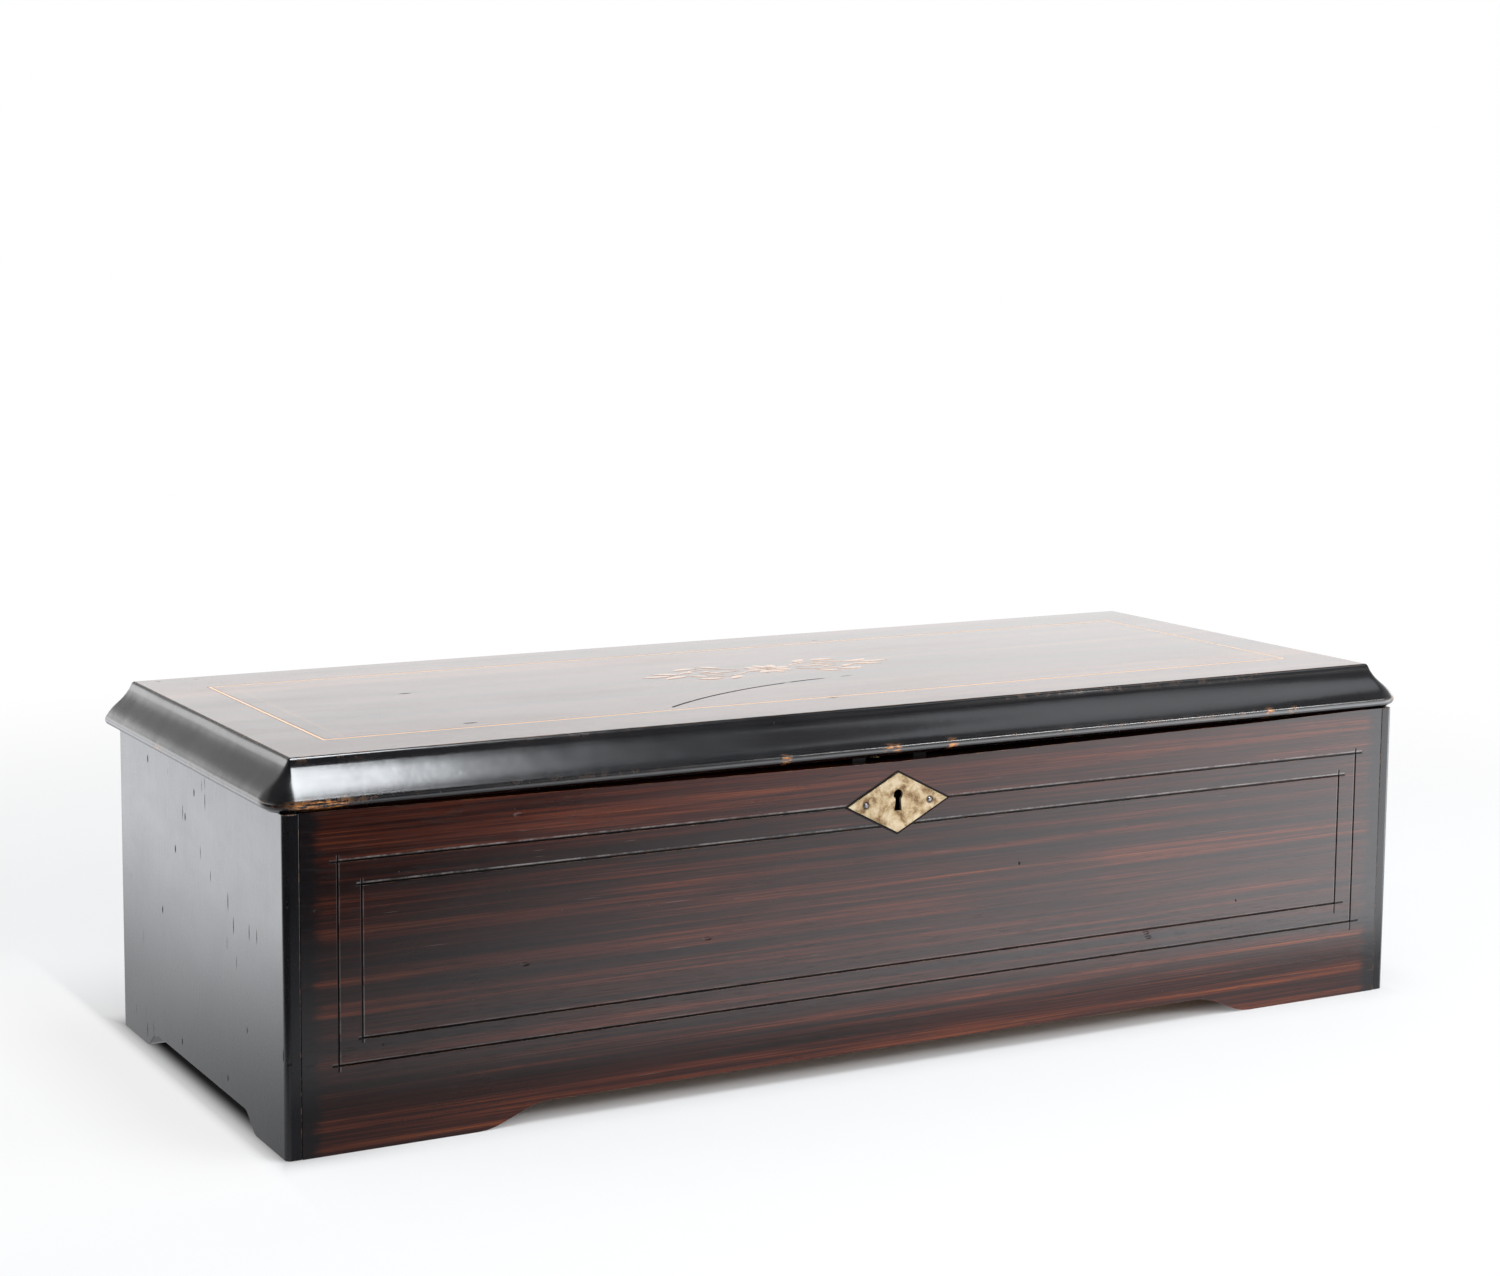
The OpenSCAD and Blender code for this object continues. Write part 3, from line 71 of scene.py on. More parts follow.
class Graph:
    """Builds the nodes of one material, with patterns on object coordinates."""

    def __init__(self, name: str) -> None:
        """Makes the material with a bare shader and its output.

        Args:
            name: Name of the material.
        """
        self.material = bpy.data.materials.new(name)
        self.material.use_nodes = True
        self.tree = self.material.node_tree
        self.tree.nodes.clear()
        self.shader = self.tree.nodes.new("ShaderNodeBsdfPrincipled")
        self.surface = self.tree.nodes.new("ShaderNodeOutputMaterial").inputs[0]
        self.feed(self.surface, self.shader.outputs[0])
        self.here = self.tree.nodes.new("ShaderNodeTexCoord").outputs["Object"]

    def feed(self, socket: Socket, value: object) -> None:
        """Links a socket, or sets its value when given a plain number or colour."""
        if isinstance(value, bpy.types.NodeSocket):
            self.tree.links.new(value, socket)
        elif isinstance(value, tuple) and len(value) == 3 and len(socket.default_value) == 4:
            socket.default_value = (*value, 1.0)
        else:
            socket.default_value = value

    def set(self, **inputs: object) -> None:
        """Feeds the shader's own sockets, with spaces written as underscores."""
        for name, value in inputs.items():
            self.feed(self.shader.inputs[name.replace("_", " ")], value)

    def node(self, kind: str, inputs: dict[str, object], **settings: object) -> bpy.types.Node:
        """Adds a node.

        Args:
            kind: Class of the node.
            inputs: Values or sockets for its inputs, by name.
            **settings: Properties of the node.

        Returns:
            The new node.
        """
        new = self.tree.nodes.new(kind)
        for name, value in settings.items():
            setattr(new, name, value)
        for name, value in inputs.items():
            self.feed(new.inputs[name], value)
        return new

    def stretched(self, scale: Scale, shift: Sequence[float] = (0, 0, 0),
                  turn: Sequence[float] = (0, 0, 0)) -> Socket:
        """Object coordinates times one scale or one for each axis, moved and turned."""
        made = self.node("ShaderNodeMapping", {"Vector": self.here})
        made.inputs["Scale"].default_value = scale if isinstance(scale, Sequence) else (scale,) * 3
        made.inputs["Location"].default_value = shift
        made.inputs["Rotation"].default_value = turn
        return made.outputs[0]

    def noise(self, scale: Scale, detail: float = 3.0, rough: float = 0.5,
              warp: float = 0.0, shift: Sequence[float] = (0, 0, 0)) -> Socket:
        """Cloudy noise between 0 and 1, its scale in clouds to the metre."""
        inputs = {"Vector": self.stretched(scale, shift), "Scale": 1.0, "Detail": detail,
                  "Roughness": rough, "Distortion": warp}
        return self.node("ShaderNodeTexNoise", inputs).outputs[0]

    def dots(self, scale: Scale, radius: float, share: float, shift: Sequence[float] = (0, 0, 0),
             turn: Sequence[float] = (0, 0, 0)) -> Socket:
        """Scattered spots: 1 in the middle of a spot, 0 outside.

        Args:
            scale: Cells to the metre, as one number or along each axis.
            radius: Radius of a spot in cells.
            share: Share of the cells that have a spot.
            shift: Offset of the pattern.
            turn: Turn of the pattern about each axis, in radians.

        Returns:
            The socket with the mask.
        """
        inputs = {"Vector": self.stretched(scale, shift, turn), "Scale": 1.0}
        cells = self.node("ShaderNodeTexVoronoi", inputs)
        spot = self.ease(cells.outputs["Distance"], radius, radius * 0.3)
        pick = self.node("ShaderNodeSeparateColor", {"Color": cells.outputs["Color"]}).outputs[0]
        return self.times(spot, self.math("LESS_THAN", pick, share))

    def ease(self, value: object, low: float, high: float, start: float = 0.0,
             end: float = 1.0) -> Socket:
        """Smooth step from start at low to end at high."""
        if low > high:
            low, high, start, end = high, low, end, start
        inputs = {"Value": value, "From Min": low, "From Max": high, "To Min": start, "To Max": end}
        return self.node("ShaderNodeMapRange", inputs, interpolation_type="SMOOTHSTEP").outputs[0]

    def math(self, kind: str, a: object, b: object = 0.0, clamp: bool = False) -> Socket:
        """One sum, product or comparison of two values."""
        made = self.node("ShaderNodeMath", {}, operation=kind, use_clamp=clamp)
        self.feed(made.inputs[0], a)
        self.feed(made.inputs[1], b)
        return made.outputs[0]

    def chain(self, kind: str, values: Sequence[object]) -> Socket:
        """Takes two or more values through one kind of math, from left to right."""
        result = values[0]
        for value in values[1:]:
            result = self.math(kind, result, value)
        return result

    def times(self, *values: object) -> Socket:
        """Product of the values."""
        return self.chain("MULTIPLY", values)

    def plus(self, *values: object) -> Socket:
        """Sum of the values."""
        return self.chain("ADD", values)

    def most(self, *values: object) -> Socket:
        """Largest of the values."""
        return self.chain("MAXIMUM", values)

    def minus(self, a: object, b: object) -> Socket:
        """First value less the second."""
        return self.math("SUBTRACT", a, b)

    def absolute(self, value: object) -> Socket:
        """Value without its sign."""
        return self.math("ABSOLUTE", value)

    def hypot(self, a: Socket, b: Socket) -> Socket:
        """Root of the sum of both squares."""
        return self.math("SQRT", self.plus(self.times(a, a), self.times(b, b)))

    def total(self, *terms: tuple[Socket, float]) -> Socket:
        """Weighted sum of sockets."""
        result: object = 0.0
        for socket, weight in terms:
            made = self.node("ShaderNodeMath", {}, operation="MULTIPLY_ADD")
            self.feed(made.inputs[0], socket)
            self.feed(made.inputs[1], weight)
            self.feed(made.inputs[2], result)
            result = made.outputs[0]
        return result

    def mix(self, share: object, a: object, b: object, kind: str = "MIX") -> Socket:
        """Mixes two colours by a share."""
        made = self.node("ShaderNodeMix", {}, data_type="RGBA", blend_type=kind)
        for index, value in ((0, share), (6, a), (7, b)):
            self.feed(made.inputs[index], value)
        return made.outputs[2]

    def ramp(self, value: Socket, *stops: tuple[float, Colour]) -> Socket:
        """Colour by value, through the given stops."""
        made = self.node("ShaderNodeValToRGB", {"Fac": value})
        points = made.color_ramp.elements
        while len(points) < len(stops):
            points.new(0.5)
        for point, (place, colour) in zip(points, stops):
            point.position = place
            point.color = (*colour, 1.0)
        return made.outputs[0]

    def bump(self, height: Socket, depth: float, below: Socket | None = None) -> Socket:
        """Normal of a relief of the given depth in millimetres, over another one."""
        inputs: dict[str, object] = {"Height": height, "Distance": depth * MM, "Strength": 1.0}
        if below is not None:
            inputs["Normal"] = below
        return self.node("ShaderNodeBump", inputs).outputs[0]

    def attribute(self, name: str) -> Socket:
        """Value of a point attribute, 0 where the mesh has none."""
        return self.node("ShaderNodeAttribute", {}, attribute_name=name).outputs["Fac"]

    def axis(self, index: int) -> Socket:
        """One of the coordinates."""
        return self.node("ShaderNodeSeparateXYZ", {"Vector": self.here}).outputs[index]

    def fed(self, name: str) -> Socket:
        """The socket that feeds one of the shader's inputs."""
        return self.shader.inputs[name].links[0].from_socket

    def blend(self, share: Socket, a: Socket, b: Socket) -> Socket:
        """Mixes two shaders by a share."""
        made = self.node("ShaderNodeMixShader", {})
        for index, value in enumerate((share, a, b)):
            self.feed(made.inputs[index], value)
        return made.outputs[0]

    def rays(self) -> bpy.types.NodeOutputs:
        """Outputs that tell the kinds of ray apart."""
        return self.node("ShaderNodeLightPath", {}).outputs


class Sky(Graph):
    """Builds the nodes of the world, with patterns on the ray's direction."""

    def __init__(self, name: str) -> None:
        """Makes the world with an empty tree.

        Args:
            name: Name of the world.
        """
        self.world = bpy.data.worlds.new(name)
        self.world.use_nodes = True
        self.tree = self.world.node_tree
        self.tree.nodes.clear()
        self.here = self.tree.nodes.new("ShaderNodeTexCoord").outputs["Generated"]

    def light(self, strength: object) -> Socket:
        """White light of the given strength."""
        return self.node("ShaderNodeBackground", {"Color": WHITE, "Strength": strength}).outputs[0]


# ------------------------------------------------------------------- finishes


@dataclass(frozen=True)
class Finish:
    """A named finish. Its material is made once, when it is first asked for.

    Fields for the depth of a relief are in millimetres.
    """

    name: str
    slot: str

    def paint(self, g: Graph) -> None:
        """Fills the material's nodes."""
        raise NotImplementedError

    def material(self) -> bpy.types.Material:
        """The finish's material."""
        found = bpy.data.materials.get(f"{self.name}_finish")
        if found is None:
            graph = Graph(f"{self.name}_finish")
            self.paint(graph)
            found = graph.material
        return found


@dataclass(frozen=True)
class Ebonised(Finish):
    """Black-stained pear wood under many coats of polish, rubbed on its edges."""

    grain: Sequence[float] = (700, 700, 60)
    stain: Colour = (0.0045, 0.0045, 0.0056)
    bare: Colour = (0.16, 0.07, 0.03)
    timber_dark: Colour = (0.10, 0.025, 0.006)
    timber_light: Colour = (0.66, 0.26, 0.05)
    gloss: float = 0.17
    ior: float = 1.7
    tooth: float = 0.003
    waves: float = 0.09
    pit: float = 0.25
    knocks: float = 1.0
    strip_y: float = -0.0996

    def paint(self, g: Graph) -> None:
        """Grain, pits and knocks in the polish, brown where it is rubbed through."""
        grain = g.noise(self.grain, 4, 0.6)
        haze = g.noise((24, 24, 40), 5, 0.62, 0.3)
        crowd = g.times(g.ease(g.noise(22, 2), 0.42, 0.56, 0.1, 1.0), self.knocks)
        pits = g.times(g.dots((260, 420, 210), 0.3, 0.2 * self.knocks),
                       g.ease(g.noise(90, 1), 0.35, 0.65, 0.1, 0.9), crowd)
        nicks = g.dots((100, 190, 70), 0.14, 0.1 * self.knocks, (5.3, 1.7, 2.9), (0.5, 0.2, 0))
        scuffs = g.times(g.dots((240, 420, 48), 0.2, 0.12 * self.knocks, (2.2, 8.1, 0.7),
                                (0.7, 0.1, 0.1)),
                         g.ease(g.noise(60, 1, 0.5, 0.0, (2, 1, 5)), 0.45, 0.6, 0.0, 0.7))
        hairlines = g.dots((500, 500, 22), 0.12, 0.04, (2.2, 8.1, 0.7), (-0.35, 0.5, 0.1))
        hole = g.most(pits, nicks, scuffs, hairlines)
        worn = g.times(g.attribute("wear"), g.ease(g.noise(260, 3, 0.6), 0.50, 0.6))
        chipped = g.attribute("chip")
        lost = g.most(worn, g.times(chipped, g.ease(g.noise((150, 420, 1200), 3), 0.48, 0.54)))
        timber = g.ramp(g.noise(420, 3), (0.35, self.timber_dark), (0.6, self.timber_light))
        shade = g.mix(haze, self.stain, tuple(c * 1.6 for c in self.stain))
        shade = g.mix(g.times(worn, 0.7), shade, self.bare)
        shade = g.mix(g.times(chipped, lost), shade, timber)
        relief = g.bump(grain, self.tooth)
        relief = g.bump(g.noise((55, 55, 42), 4, 0.55), self.waves, relief)
        relief = g.bump(hole, -self.pit, relief)
        strip = g.ease(g.axis(1), self.strip_y + 0.3 * MM, self.strip_y)
        bare = g.most(hole, g.times(strip, 0.55))
        g.set(Base_Color=shade, Normal=relief, Coat_Normal=relief, Coat_IOR=self.ior, IOR=self.ior,
              Coat_Weight=g.ease(bare, 0.1, 0.8, 1.0, 0.1),
              Specular_IOR_Level=g.ease(bare, 0.1, 0.7, 0.4, 0.03),
              Coat_Roughness=g.plus(g.times(haze, 0.2), self.gloss - 0.1),
              Roughness=g.plus(g.total((haze, 0.16), (grain, 0.08), (lost, 0.3), (hole, 0.3)),
                               self.gloss - 0.05))


@dataclass(frozen=True)
class Rosewood(Finish):
    """Rosewood with dark streaks along the length of the board, under polish."""

    deep: Colour = (0.0120, 0.0044, 0.0038)
    body: Colour = (0.037, 0.0085, 0.0052)
    red: Colour = (0.098, 0.0205, 0.0090)
    light: Colour = (0.27, 0.072, 0.019)
    coat: float = 0.8
    gloss: float = 0.2
    ior: float = 1.5
    across: int = 2
    rubbed: Colour = (0.40, 0.19, 0.085)
    waves: float = 0.07
    sunk: float = 0.008

    def figure(self, g: Graph) -> tuple[Socket, Socket]:
        """Colour of the wood and the mask of its open pores.

        Args:
            g: Graph to add the pattern to.

        Returns:
            The colour and the pores.
        """
        def run(along: float, across: float) -> tuple[float, float, float]:
            """Scale of a streak: along X, and across on the board's own axis."""
            other = across * 0.2
            return (along, other, across) if self.across == 2 else (along, across, other)

        broad = g.noise(run(1.3, 30), 2, 0.5, 0.25)
        bands = g.noise(run(1.8, 150), 3, 0.6, 0.12, (3, 1, 7))
        streaks = g.noise(run(4.5, 520), 3, 0.6, 0.05, (1, 5, 2))
        fine = g.noise(run(14, 1700), 2, 0.6, 0.0, (4, 2, 8))
        value = g.total((broad, 0.22), (bands, 0.27), (streaks, 0.30), (fine, 0.21))
        colour = g.ramp(value, (0.435, self.deep), (0.505, self.body), (0.56, self.red),
                        (0.65, self.light))
        pores = g.ease(g.noise(run(90, 3600), 2, 0.5, 0.0, (9, 4, 6)), 0.61, 0.68)
        return g.mix(g.times(pores, 0.7), colour, self.deep), pores

    def relief(self, g: Graph, pores: Socket) -> Socket:
        """Polish that has sunk a little into the pores, with dents and scratches."""
        made = g.bump(g.noise((34, 60, 90), 2, 0.4), self.waves)
        made = g.bump(pores, -self.sunk, made)
        for scale, radius, share, depth, lean in (
                ((55, 55, 130), 0.12, 0.07, 0.16, 0.3), ((60, 60, 620), 0.08, 0.07, 0.07, 1.0),
                ((22, 22, 800), 0.12, 0.02, 0.03, 1.35), ((200, 200, 200), 0.12, 0.02, 0.05, 0)):
            made = g.bump(g.dots(scale, radius, share, (1.1, 4.2, 3.3), (0, lean, 0)), -depth, made)
        return made

    def paint(self, g: Graph) -> None:
        """Figured wood, with rubbed edges and hazy patches in the polish."""
        colour, pores = self.figure(g)
        worn = g.times(g.attribute("wear"), g.ease(g.noise((130, 210, 210), 3, 0.6), 0.46, 0.56))
        colour = g.mix(g.times(worn, 0.85), colour, self.rubbed)
        normal = self.relief(g, pores)
        haze = g.noise((16, 16, 40), 4, 0.6)
        g.set(Base_Color=colour, Normal=normal, Coat_Normal=normal, Coat_Weight=self.coat,
              IOR=self.ior, Coat_IOR=self.ior, Specular_IOR_Level=0.12,
              Coat_Roughness=g.plus(g.times(haze, 0.12), self.gloss - 0.06),
              Roughness=g.plus(g.total((haze, 0.16), (pores, 0.1), (worn, 0.2)), 0.22))


@dataclass(frozen=True)
class ScoredFront(Rosewood):
    """Rosewood front: two scored rectangles overrun their corners, and a few worm holes."""

    line_side: float = 232 * MM
    line_low: float = 32.4 * MM
    line_high: float = 106.4 * MM
    step: float = 9 * MM
    width: float = 0.5 * MM
    depth: float = 0.16
    plate: tuple[float, float] = (22.75 * MM, 11.9 * MM)
    smoke_x: float = -0.165
    smoke_z: float = 0.072
    smoke: Colour = (0.010, 0.006, 0.0075)
    # painted shade: the front is darkened towards its left end, where less light falls
    painted_shade_x: tuple[float, float] = (-0.235, -0.10)
    dim: Colour = (0.003, 0.0015, 0.0014)
    margin_x: tuple[float, float] = (0.2425, 0.2485)
    margin: Colour = (0.0045, 0.0040, 0.0052)
    scratched: Colour = (0.15, 0.115, 0.105)
    # painted highlight: a light colour laid beside each scored cut, where light would catch its
    # edge
    lip_highlight: Colour = (0.27, 0.25, 0.245)
    cut: Colour = (0.002, 0.0015, 0.0015)

    def line(self, g: Graph, value: Socket, place: float, width: float) -> Socket:
        """Mask of a thin line where a coordinate has the given value."""
        return g.ease(g.absolute(g.minus(value, place)), width, width * 0.35)

    def scores(self, g: Graph) -> tuple[Socket, Socket]:
        """The scored lines of both rectangles.

        Args:
            g: Graph to add the pattern to.

        Returns:
            Mask of the cuts, and mask of the painted highlights beside them.
        """
        x, z = g.absolute(g.axis(0)), g.axis(2)
        cuts: object = 0.0
        lip_highlights: object = 0.0
        for inset in (0.0, self.step):
            side, low, high = self.line_side - inset, self.line_low + inset, self.line_high - inset
            over = g.ease(g.noise(35, 1), 0.3, 0.7, 0.5 * MM, 5 * MM)
            inside_x = g.math("LESS_THAN", g.minus(x, over), side)
            inside_z = g.times(g.math("LESS_THAN", g.minus(z, over), high),
                               g.math("GREATER_THAN", g.plus(z, over), low))
            # each cut gets a painted highlight just beside it, offset by away and weighted by
            # bright, strongest on the upper lines
            for value, place, reach, away, bright in ((x, side, inside_z, -0.5, 0.5),
                                                      (z, low, inside_x, 0.6, 0.3),
                                                      (z, high, inside_x, 0.75, 1.0)):
                cut = g.times(self.line(g, value, place, self.width), reach)
                edge = g.times(self.line(g, value, place + away * MM, self.width * 0.8), reach,
                               bright)
                cuts, lip_highlights = g.most(cut, cuts), g.most(edge, lip_highlights)
        broken = g.ease(g.noise(75, 6, 0.75, 0.0, (3, 3, 3)), 0.38, 0.62, 0.1, 0.9)
        return cuts, g.times(lip_highlights, broken)

    def paint(self, g: Graph) -> None:
        """As rosewood: scores, crumbly holes, a smoky patch, a dark gap round the plate, painted
        highlights beside the scores and painted shade at the left end.
        """
        super().paint(g)
        colour, x, z = g.fed("Base Color"), g.axis(0), g.axis(2)
        cloud = g.noise((9, 9, 16), 4, 0.6, 0.3, (1, 2, 6))
        near = g.plus(g.times(g.absolute(g.minus(x, self.smoke_x)), 9.0),
                      g.times(g.absolute(g.minus(z, self.smoke_z)), 22.0))
        veil = g.most(g.ease(cloud, 0.54, 0.72, 0.0, 0.5),
                      g.ease(g.plus(near, cloud), 1.5, 0.8, 0.0, 0.6))
        colour = g.mix(veil, colour, g.mix(0.75, colour, self.smoke))
        # painted shade towards the left end of the front
        colour = g.mix(g.ease(x, *self.painted_shade_x, 0.45, 0.0), colour, self.dim)
        fray = g.times(g.noise((110, 110, 320), 5, 0.7), 12 * MM)
        margin = g.ease(g.plus(g.absolute(x), fray), *self.margin_x)
        colour = g.mix(g.times(margin, 0.92), colour, self.margin)
        scratches: object = 0.0
        for scale, radius, share, lean in (
                ((45, 45, 1500), 0.22, 0.006, 0.9), ((60, 60, 1500), 0.2, 0.006, -0.6),
                ((30, 30, 1400), 0.24, 0.004, 0.15), ((420, 420, 420), 0.13, 0.012, 0.0)):
            mark = g.dots(scale, radius, share, (2.7, 4.1, 1.3), (0, lean, 0))
            scratches = g.most(mark, scratches)
        colour = g.mix(g.times(scratches, 0.5), colour, self.scratched)
        cuts, lip_highlights = self.scores(g)
        holes = g.dots(45, 0.04, 0.05, (0.4, 2.2, 6.1))
        plate_x = g.math("DIVIDE", g.absolute(x), self.plate[0])
        plate_z = g.math("DIVIDE", g.absolute(g.minus(z, self.line_high)), self.plate[1])
        gap = g.ease(g.plus(plate_x, plate_z), 1.09, 1.06)
        dark = g.most(cuts, holes, gap)
        # painted highlight beside the scored cuts
        colour = g.mix(g.times(lip_highlights, 0.75), colour, self.lip_highlight)
        normal = g.bump(dark, -self.depth, g.fed("Normal"))
        g.set(Base_Color=g.mix(dark, colour, self.cut), Normal=normal, Coat_Normal=normal,
              Coat_Weight=g.ease(dark, 0.2, 0.9, self.coat, 0.15))


@dataclass(frozen=True)
class LidVeneer(Rosewood):
    """Highly polished lid: a fine inner line, a long scratch, stained wood underneath."""

    top_z: float = 0.143
    line_x: float = 214 * MM
    line_y: float = 61 * MM
    line_mid: float = 3.5 * MM
    line_w: float = 0.35 * MM
    scratch_centre: tuple[float, float] = (0.0331, -0.2013)
    scratch_radius: float = 0.1825
    scratch_left: tuple[float, float] = (-0.0775, -0.0755)
    scratch_right: tuple[float, float] = (0.034, 0.016)
    scratch_front: float = -0.07
    string: Colour = (0.34, 0.16, 0.06)
    mark: Colour = (0.012, 0.008, 0.008)
    under_dark: Colour = (0.018, 0.010, 0.007)
    under_light: Colour = (0.065, 0.036, 0.022)
    waves: float = 0.022
    sunk: float = 0.002
    dent: float = 0.02
    score: float = 0.05

    def paint(self, g: Graph) -> None:
        """The veneer on top, dark stained wood on every other face."""
        super().paint(g)
        x, y, z = (g.axis(i) for i in range(3))
        top = g.math("GREATER_THAN", z, self.top_z - 0.6 * MM)
        out_x = g.minus(g.absolute(x), self.line_x)
        out_y = g.minus(g.absolute(g.minus(y, self.line_mid)), self.line_y)
        stringing = g.times(g.ease(g.absolute(g.most(out_x, out_y)), self.line_w,
                                   self.line_w * 0.6), top)
        colour = g.mix(g.times(stringing, 0.75), g.fed("Base Color"), self.string)
        far = g.hypot(g.minus(x, self.scratch_centre[0]), g.minus(y, self.scratch_centre[1]))
        off = g.absolute(g.minus(far, self.scratch_radius))
        scratch = g.times(g.ease(off, 0.9 * MM, 0.4 * MM),
                          g.ease(x, *self.scratch_left), g.ease(x, *self.scratch_right),
                          g.math("GREATER_THAN", y, self.scratch_front),
                          g.ease(g.noise(90, 2), 0.3, 0.45))
        patches = g.ease(g.noise(9, 2), 0.45, 0.6)
        marks = g.most(g.dots((14, 60, 14), 0.06, 0.25, (3.3, 1.9, 0)),
                       g.times(g.dots((60, 260, 60), 0.1, 0.12, (1.3, 0.9, 0)), patches))
        dark = g.times(g.most(scratch, marks), top)
        colour = g.mix(dark, colour, self.mark)
        under = g.ramp(g.noise((20, 500, 500), 4, 0.6, 0.4), (0.35, self.under_dark),
                       (0.65, self.under_light))
        haze = g.ease(g.noise((9, 30, 9), 4, 0.6), 0.3, 0.75, 0.0, 0.09)
        normal = g.bump(dark, -self.score, g.fed("Normal"))
        g.set(Base_Color=g.mix(top, under, colour), Normal=normal, Coat_Normal=normal,
              Coat_Weight=g.ease(top, 0.0, 1.0, 0.25, 1.0),
              Coat_Roughness=g.plus(g.ease(dark, 0, 1, 0.035, 0.5), haze),
              Specular_IOR_Level=g.ease(top, 0, 1, 0.5, 0.0), Roughness=g.ease(top, 0, 1, 0.5, 0.3))

    def relief(self, g: Graph, pores: Socket) -> Socket:
        """A flat polish, with only faint waves, pores and small marks."""
        made = g.bump(g.noise((22, 60, 22), 2, 0.4), self.waves)
        made = g.bump(pores, -self.sunk, made)
        return g.bump(g.dots((160, 260, 160), 0.12, 0.05), -self.dent, made)


@dataclass(frozen=True)
class PlainWood(Finish):
    """Straight-grained wood, bare or stained, with its rings along one axis."""

    dark: Colour = (0.17, 0.095, 0.045)
    light: Colour = (0.36, 0.23, 0.125)
    along: int = 0
    rough: float = 0.6
    coat: float = 0.0
    fibre: float = 0.05
    ring: float = 0.04

    def paint(self, g: Graph) -> None:
        """Rings and fine fibres along the grain, stained by age in patches."""
        def run(along: float, across: float) -> tuple[float, ...]:
            """Scale with the grain's axis slow and the others fast."""
            return tuple(along if i == self.along else across for i in range(3))

        rings = g.noise(run(1.5, 75), 3, 0.5, 0.8)
        fibre = g.noise(run(30, 1700), 3, 0.6)
        age = g.noise(11, 4, 0.6)
        value = g.total((rings, 0.55), (fibre, 0.25), (age, 0.2))
        colour = g.ramp(value, (0.36, self.dark), (0.62, self.light))
        spots = g.dots(40, 0.1, 0.12)
        colour = g.mix(g.times(spots, 0.6), colour, tuple(c * 0.4 for c in self.dark))
        relief = g.bump(fibre, self.fibre)
        g.set(Base_Color=colour, Normal=g.bump(rings, self.ring, relief), Coat_Weight=self.coat,
              Coat_Roughness=0.3,
              Roughness=g.ease(fibre, 0.3, 0.7, self.rough - 0.08, self.rough + 0.08))


@dataclass(frozen=True)
class Metal(Finish):
    """Metal with a drawn or turned texture, dulled in patches."""

    clean: Colour = (0.66, 0.49, 0.2)
    dull: Colour = (0.30, 0.20, 0.08)
    grain: Sequence[float] = (90, 900, 900)
    rough: float = 0.24
    age: float = 0.35
    spots: float = 0.1
    metallic: float = 1.0
    line: float = 0.0022
    pit: float = 0.01

    def paint(self, g: Graph) -> None:
        """Tarnish over brushed metal, with darker spots and rougher dull places."""
        cloud = g.noise(48, 3, 0.5)
        lines = g.noise(self.grain, 3, 0.6)
        spots = g.dots(210, 0.2, self.spots * 0.6)
        dim = g.most(g.ease(cloud, 0.25, 0.85, 0.0, self.age * 1.3), g.times(spots, 0.5))
        colour = g.mix(dim, self.clean, self.dull)
        colour = g.mix(g.times(lines, 0.18), colour, tuple(c * 0.45 for c in self.clean))
        relief = g.bump(lines, self.line)
        g.set(Base_Color=colour, Metallic=self.metallic, Normal=g.bump(spots, -self.pit, relief),
              Roughness=g.total((dim, 0.2), (lines, 0.12), (cloud, self.rough)))


@dataclass(frozen=True)
class CastIron(Finish):
    """Cast bedplate under bronze paint, grainy from the sand."""

    paint_colour: Colour = (0.42, 0.33, 0.16)
    worn_colour: Colour = (0.22, 0.16, 0.075)
    flake: Colour = (0.75, 0.63, 0.36)
    sand: float = 0.12
    lumps: float = 0.25

    def paint(self, g: Graph) -> None:
        """Metallic paint that has dulled, over a sandy skin."""
        sand = g.noise(1300, 4, 0.65)
        cloud = g.noise(38, 5, 0.6)
        flakes = g.noise(2600, 1)
        colour = g.mix(g.ease(cloud, 0.42, 0.66), self.paint_colour, self.worn_colour)
        colour = g.mix(g.ease(flakes, 0.55, 0.7, 0, 0.35), colour, self.flake)
        relief = g.bump(sand, self.sand)
        g.set(Base_Color=colour, Metallic=0.75, Roughness=g.ease(sand, 0.3, 0.7, 0.36, 0.52),
              Normal=g.bump(g.noise(160, 2), self.lumps, relief))


@dataclass(frozen=True)
class OldEscutcheon(Finish):
    """Thin brass plate let into the front: mottled brown and gold, edges rubbed bright."""

    pin_x: float = 14.6 * MM
    pin_z: float = 106.4 * MM
    gold: Colour = (0.68, 0.56, 0.38)
    tan: Colour = (0.52, 0.385, 0.22)
    brown: Colour = (0.25, 0.15, 0.075)
    rust: Colour = (0.05, 0.033, 0.026)
    bright: Colour = (0.83, 0.68, 0.42)
    scratch: float = 0.015
    mottle: float = 0.05

    def paint(self, g: Graph) -> None:
        """Brown tarnish in blotches, bright on the rim, fine scratches across."""
        blotch = g.noise(170, 6, 0.68, 0.4)
        wipe = g.noise((60, 60, 900), 3, 0.6)
        grime = g.ease(blotch, 0.40, 0.60)
        colour = g.ramp(blotch, (0.38, self.gold), (0.5, self.tan), (0.6, self.brown))
        near = g.hypot(g.minus(g.absolute(g.axis(0)), self.pin_x), g.minus(g.axis(2), self.pin_z))
        colour = g.mix(g.ease(near, 2.0 * MM, 1.2 * MM, 0.0, 0.9), colour, self.rust)
        rim = g.attribute("wear")
        colour = g.mix(g.times(rim, 0.85), colour, self.bright)
        relief = g.bump(wipe, self.scratch)
        relief = g.bump(blotch, self.mottle, relief)
        rough = g.total((grime, 0.22), (rim, -0.1), (wipe, 0.12))
        g.set(Base_Color=colour, Metallic=0.8, Normal=relief, Roughness=g.plus(rough, 0.3))


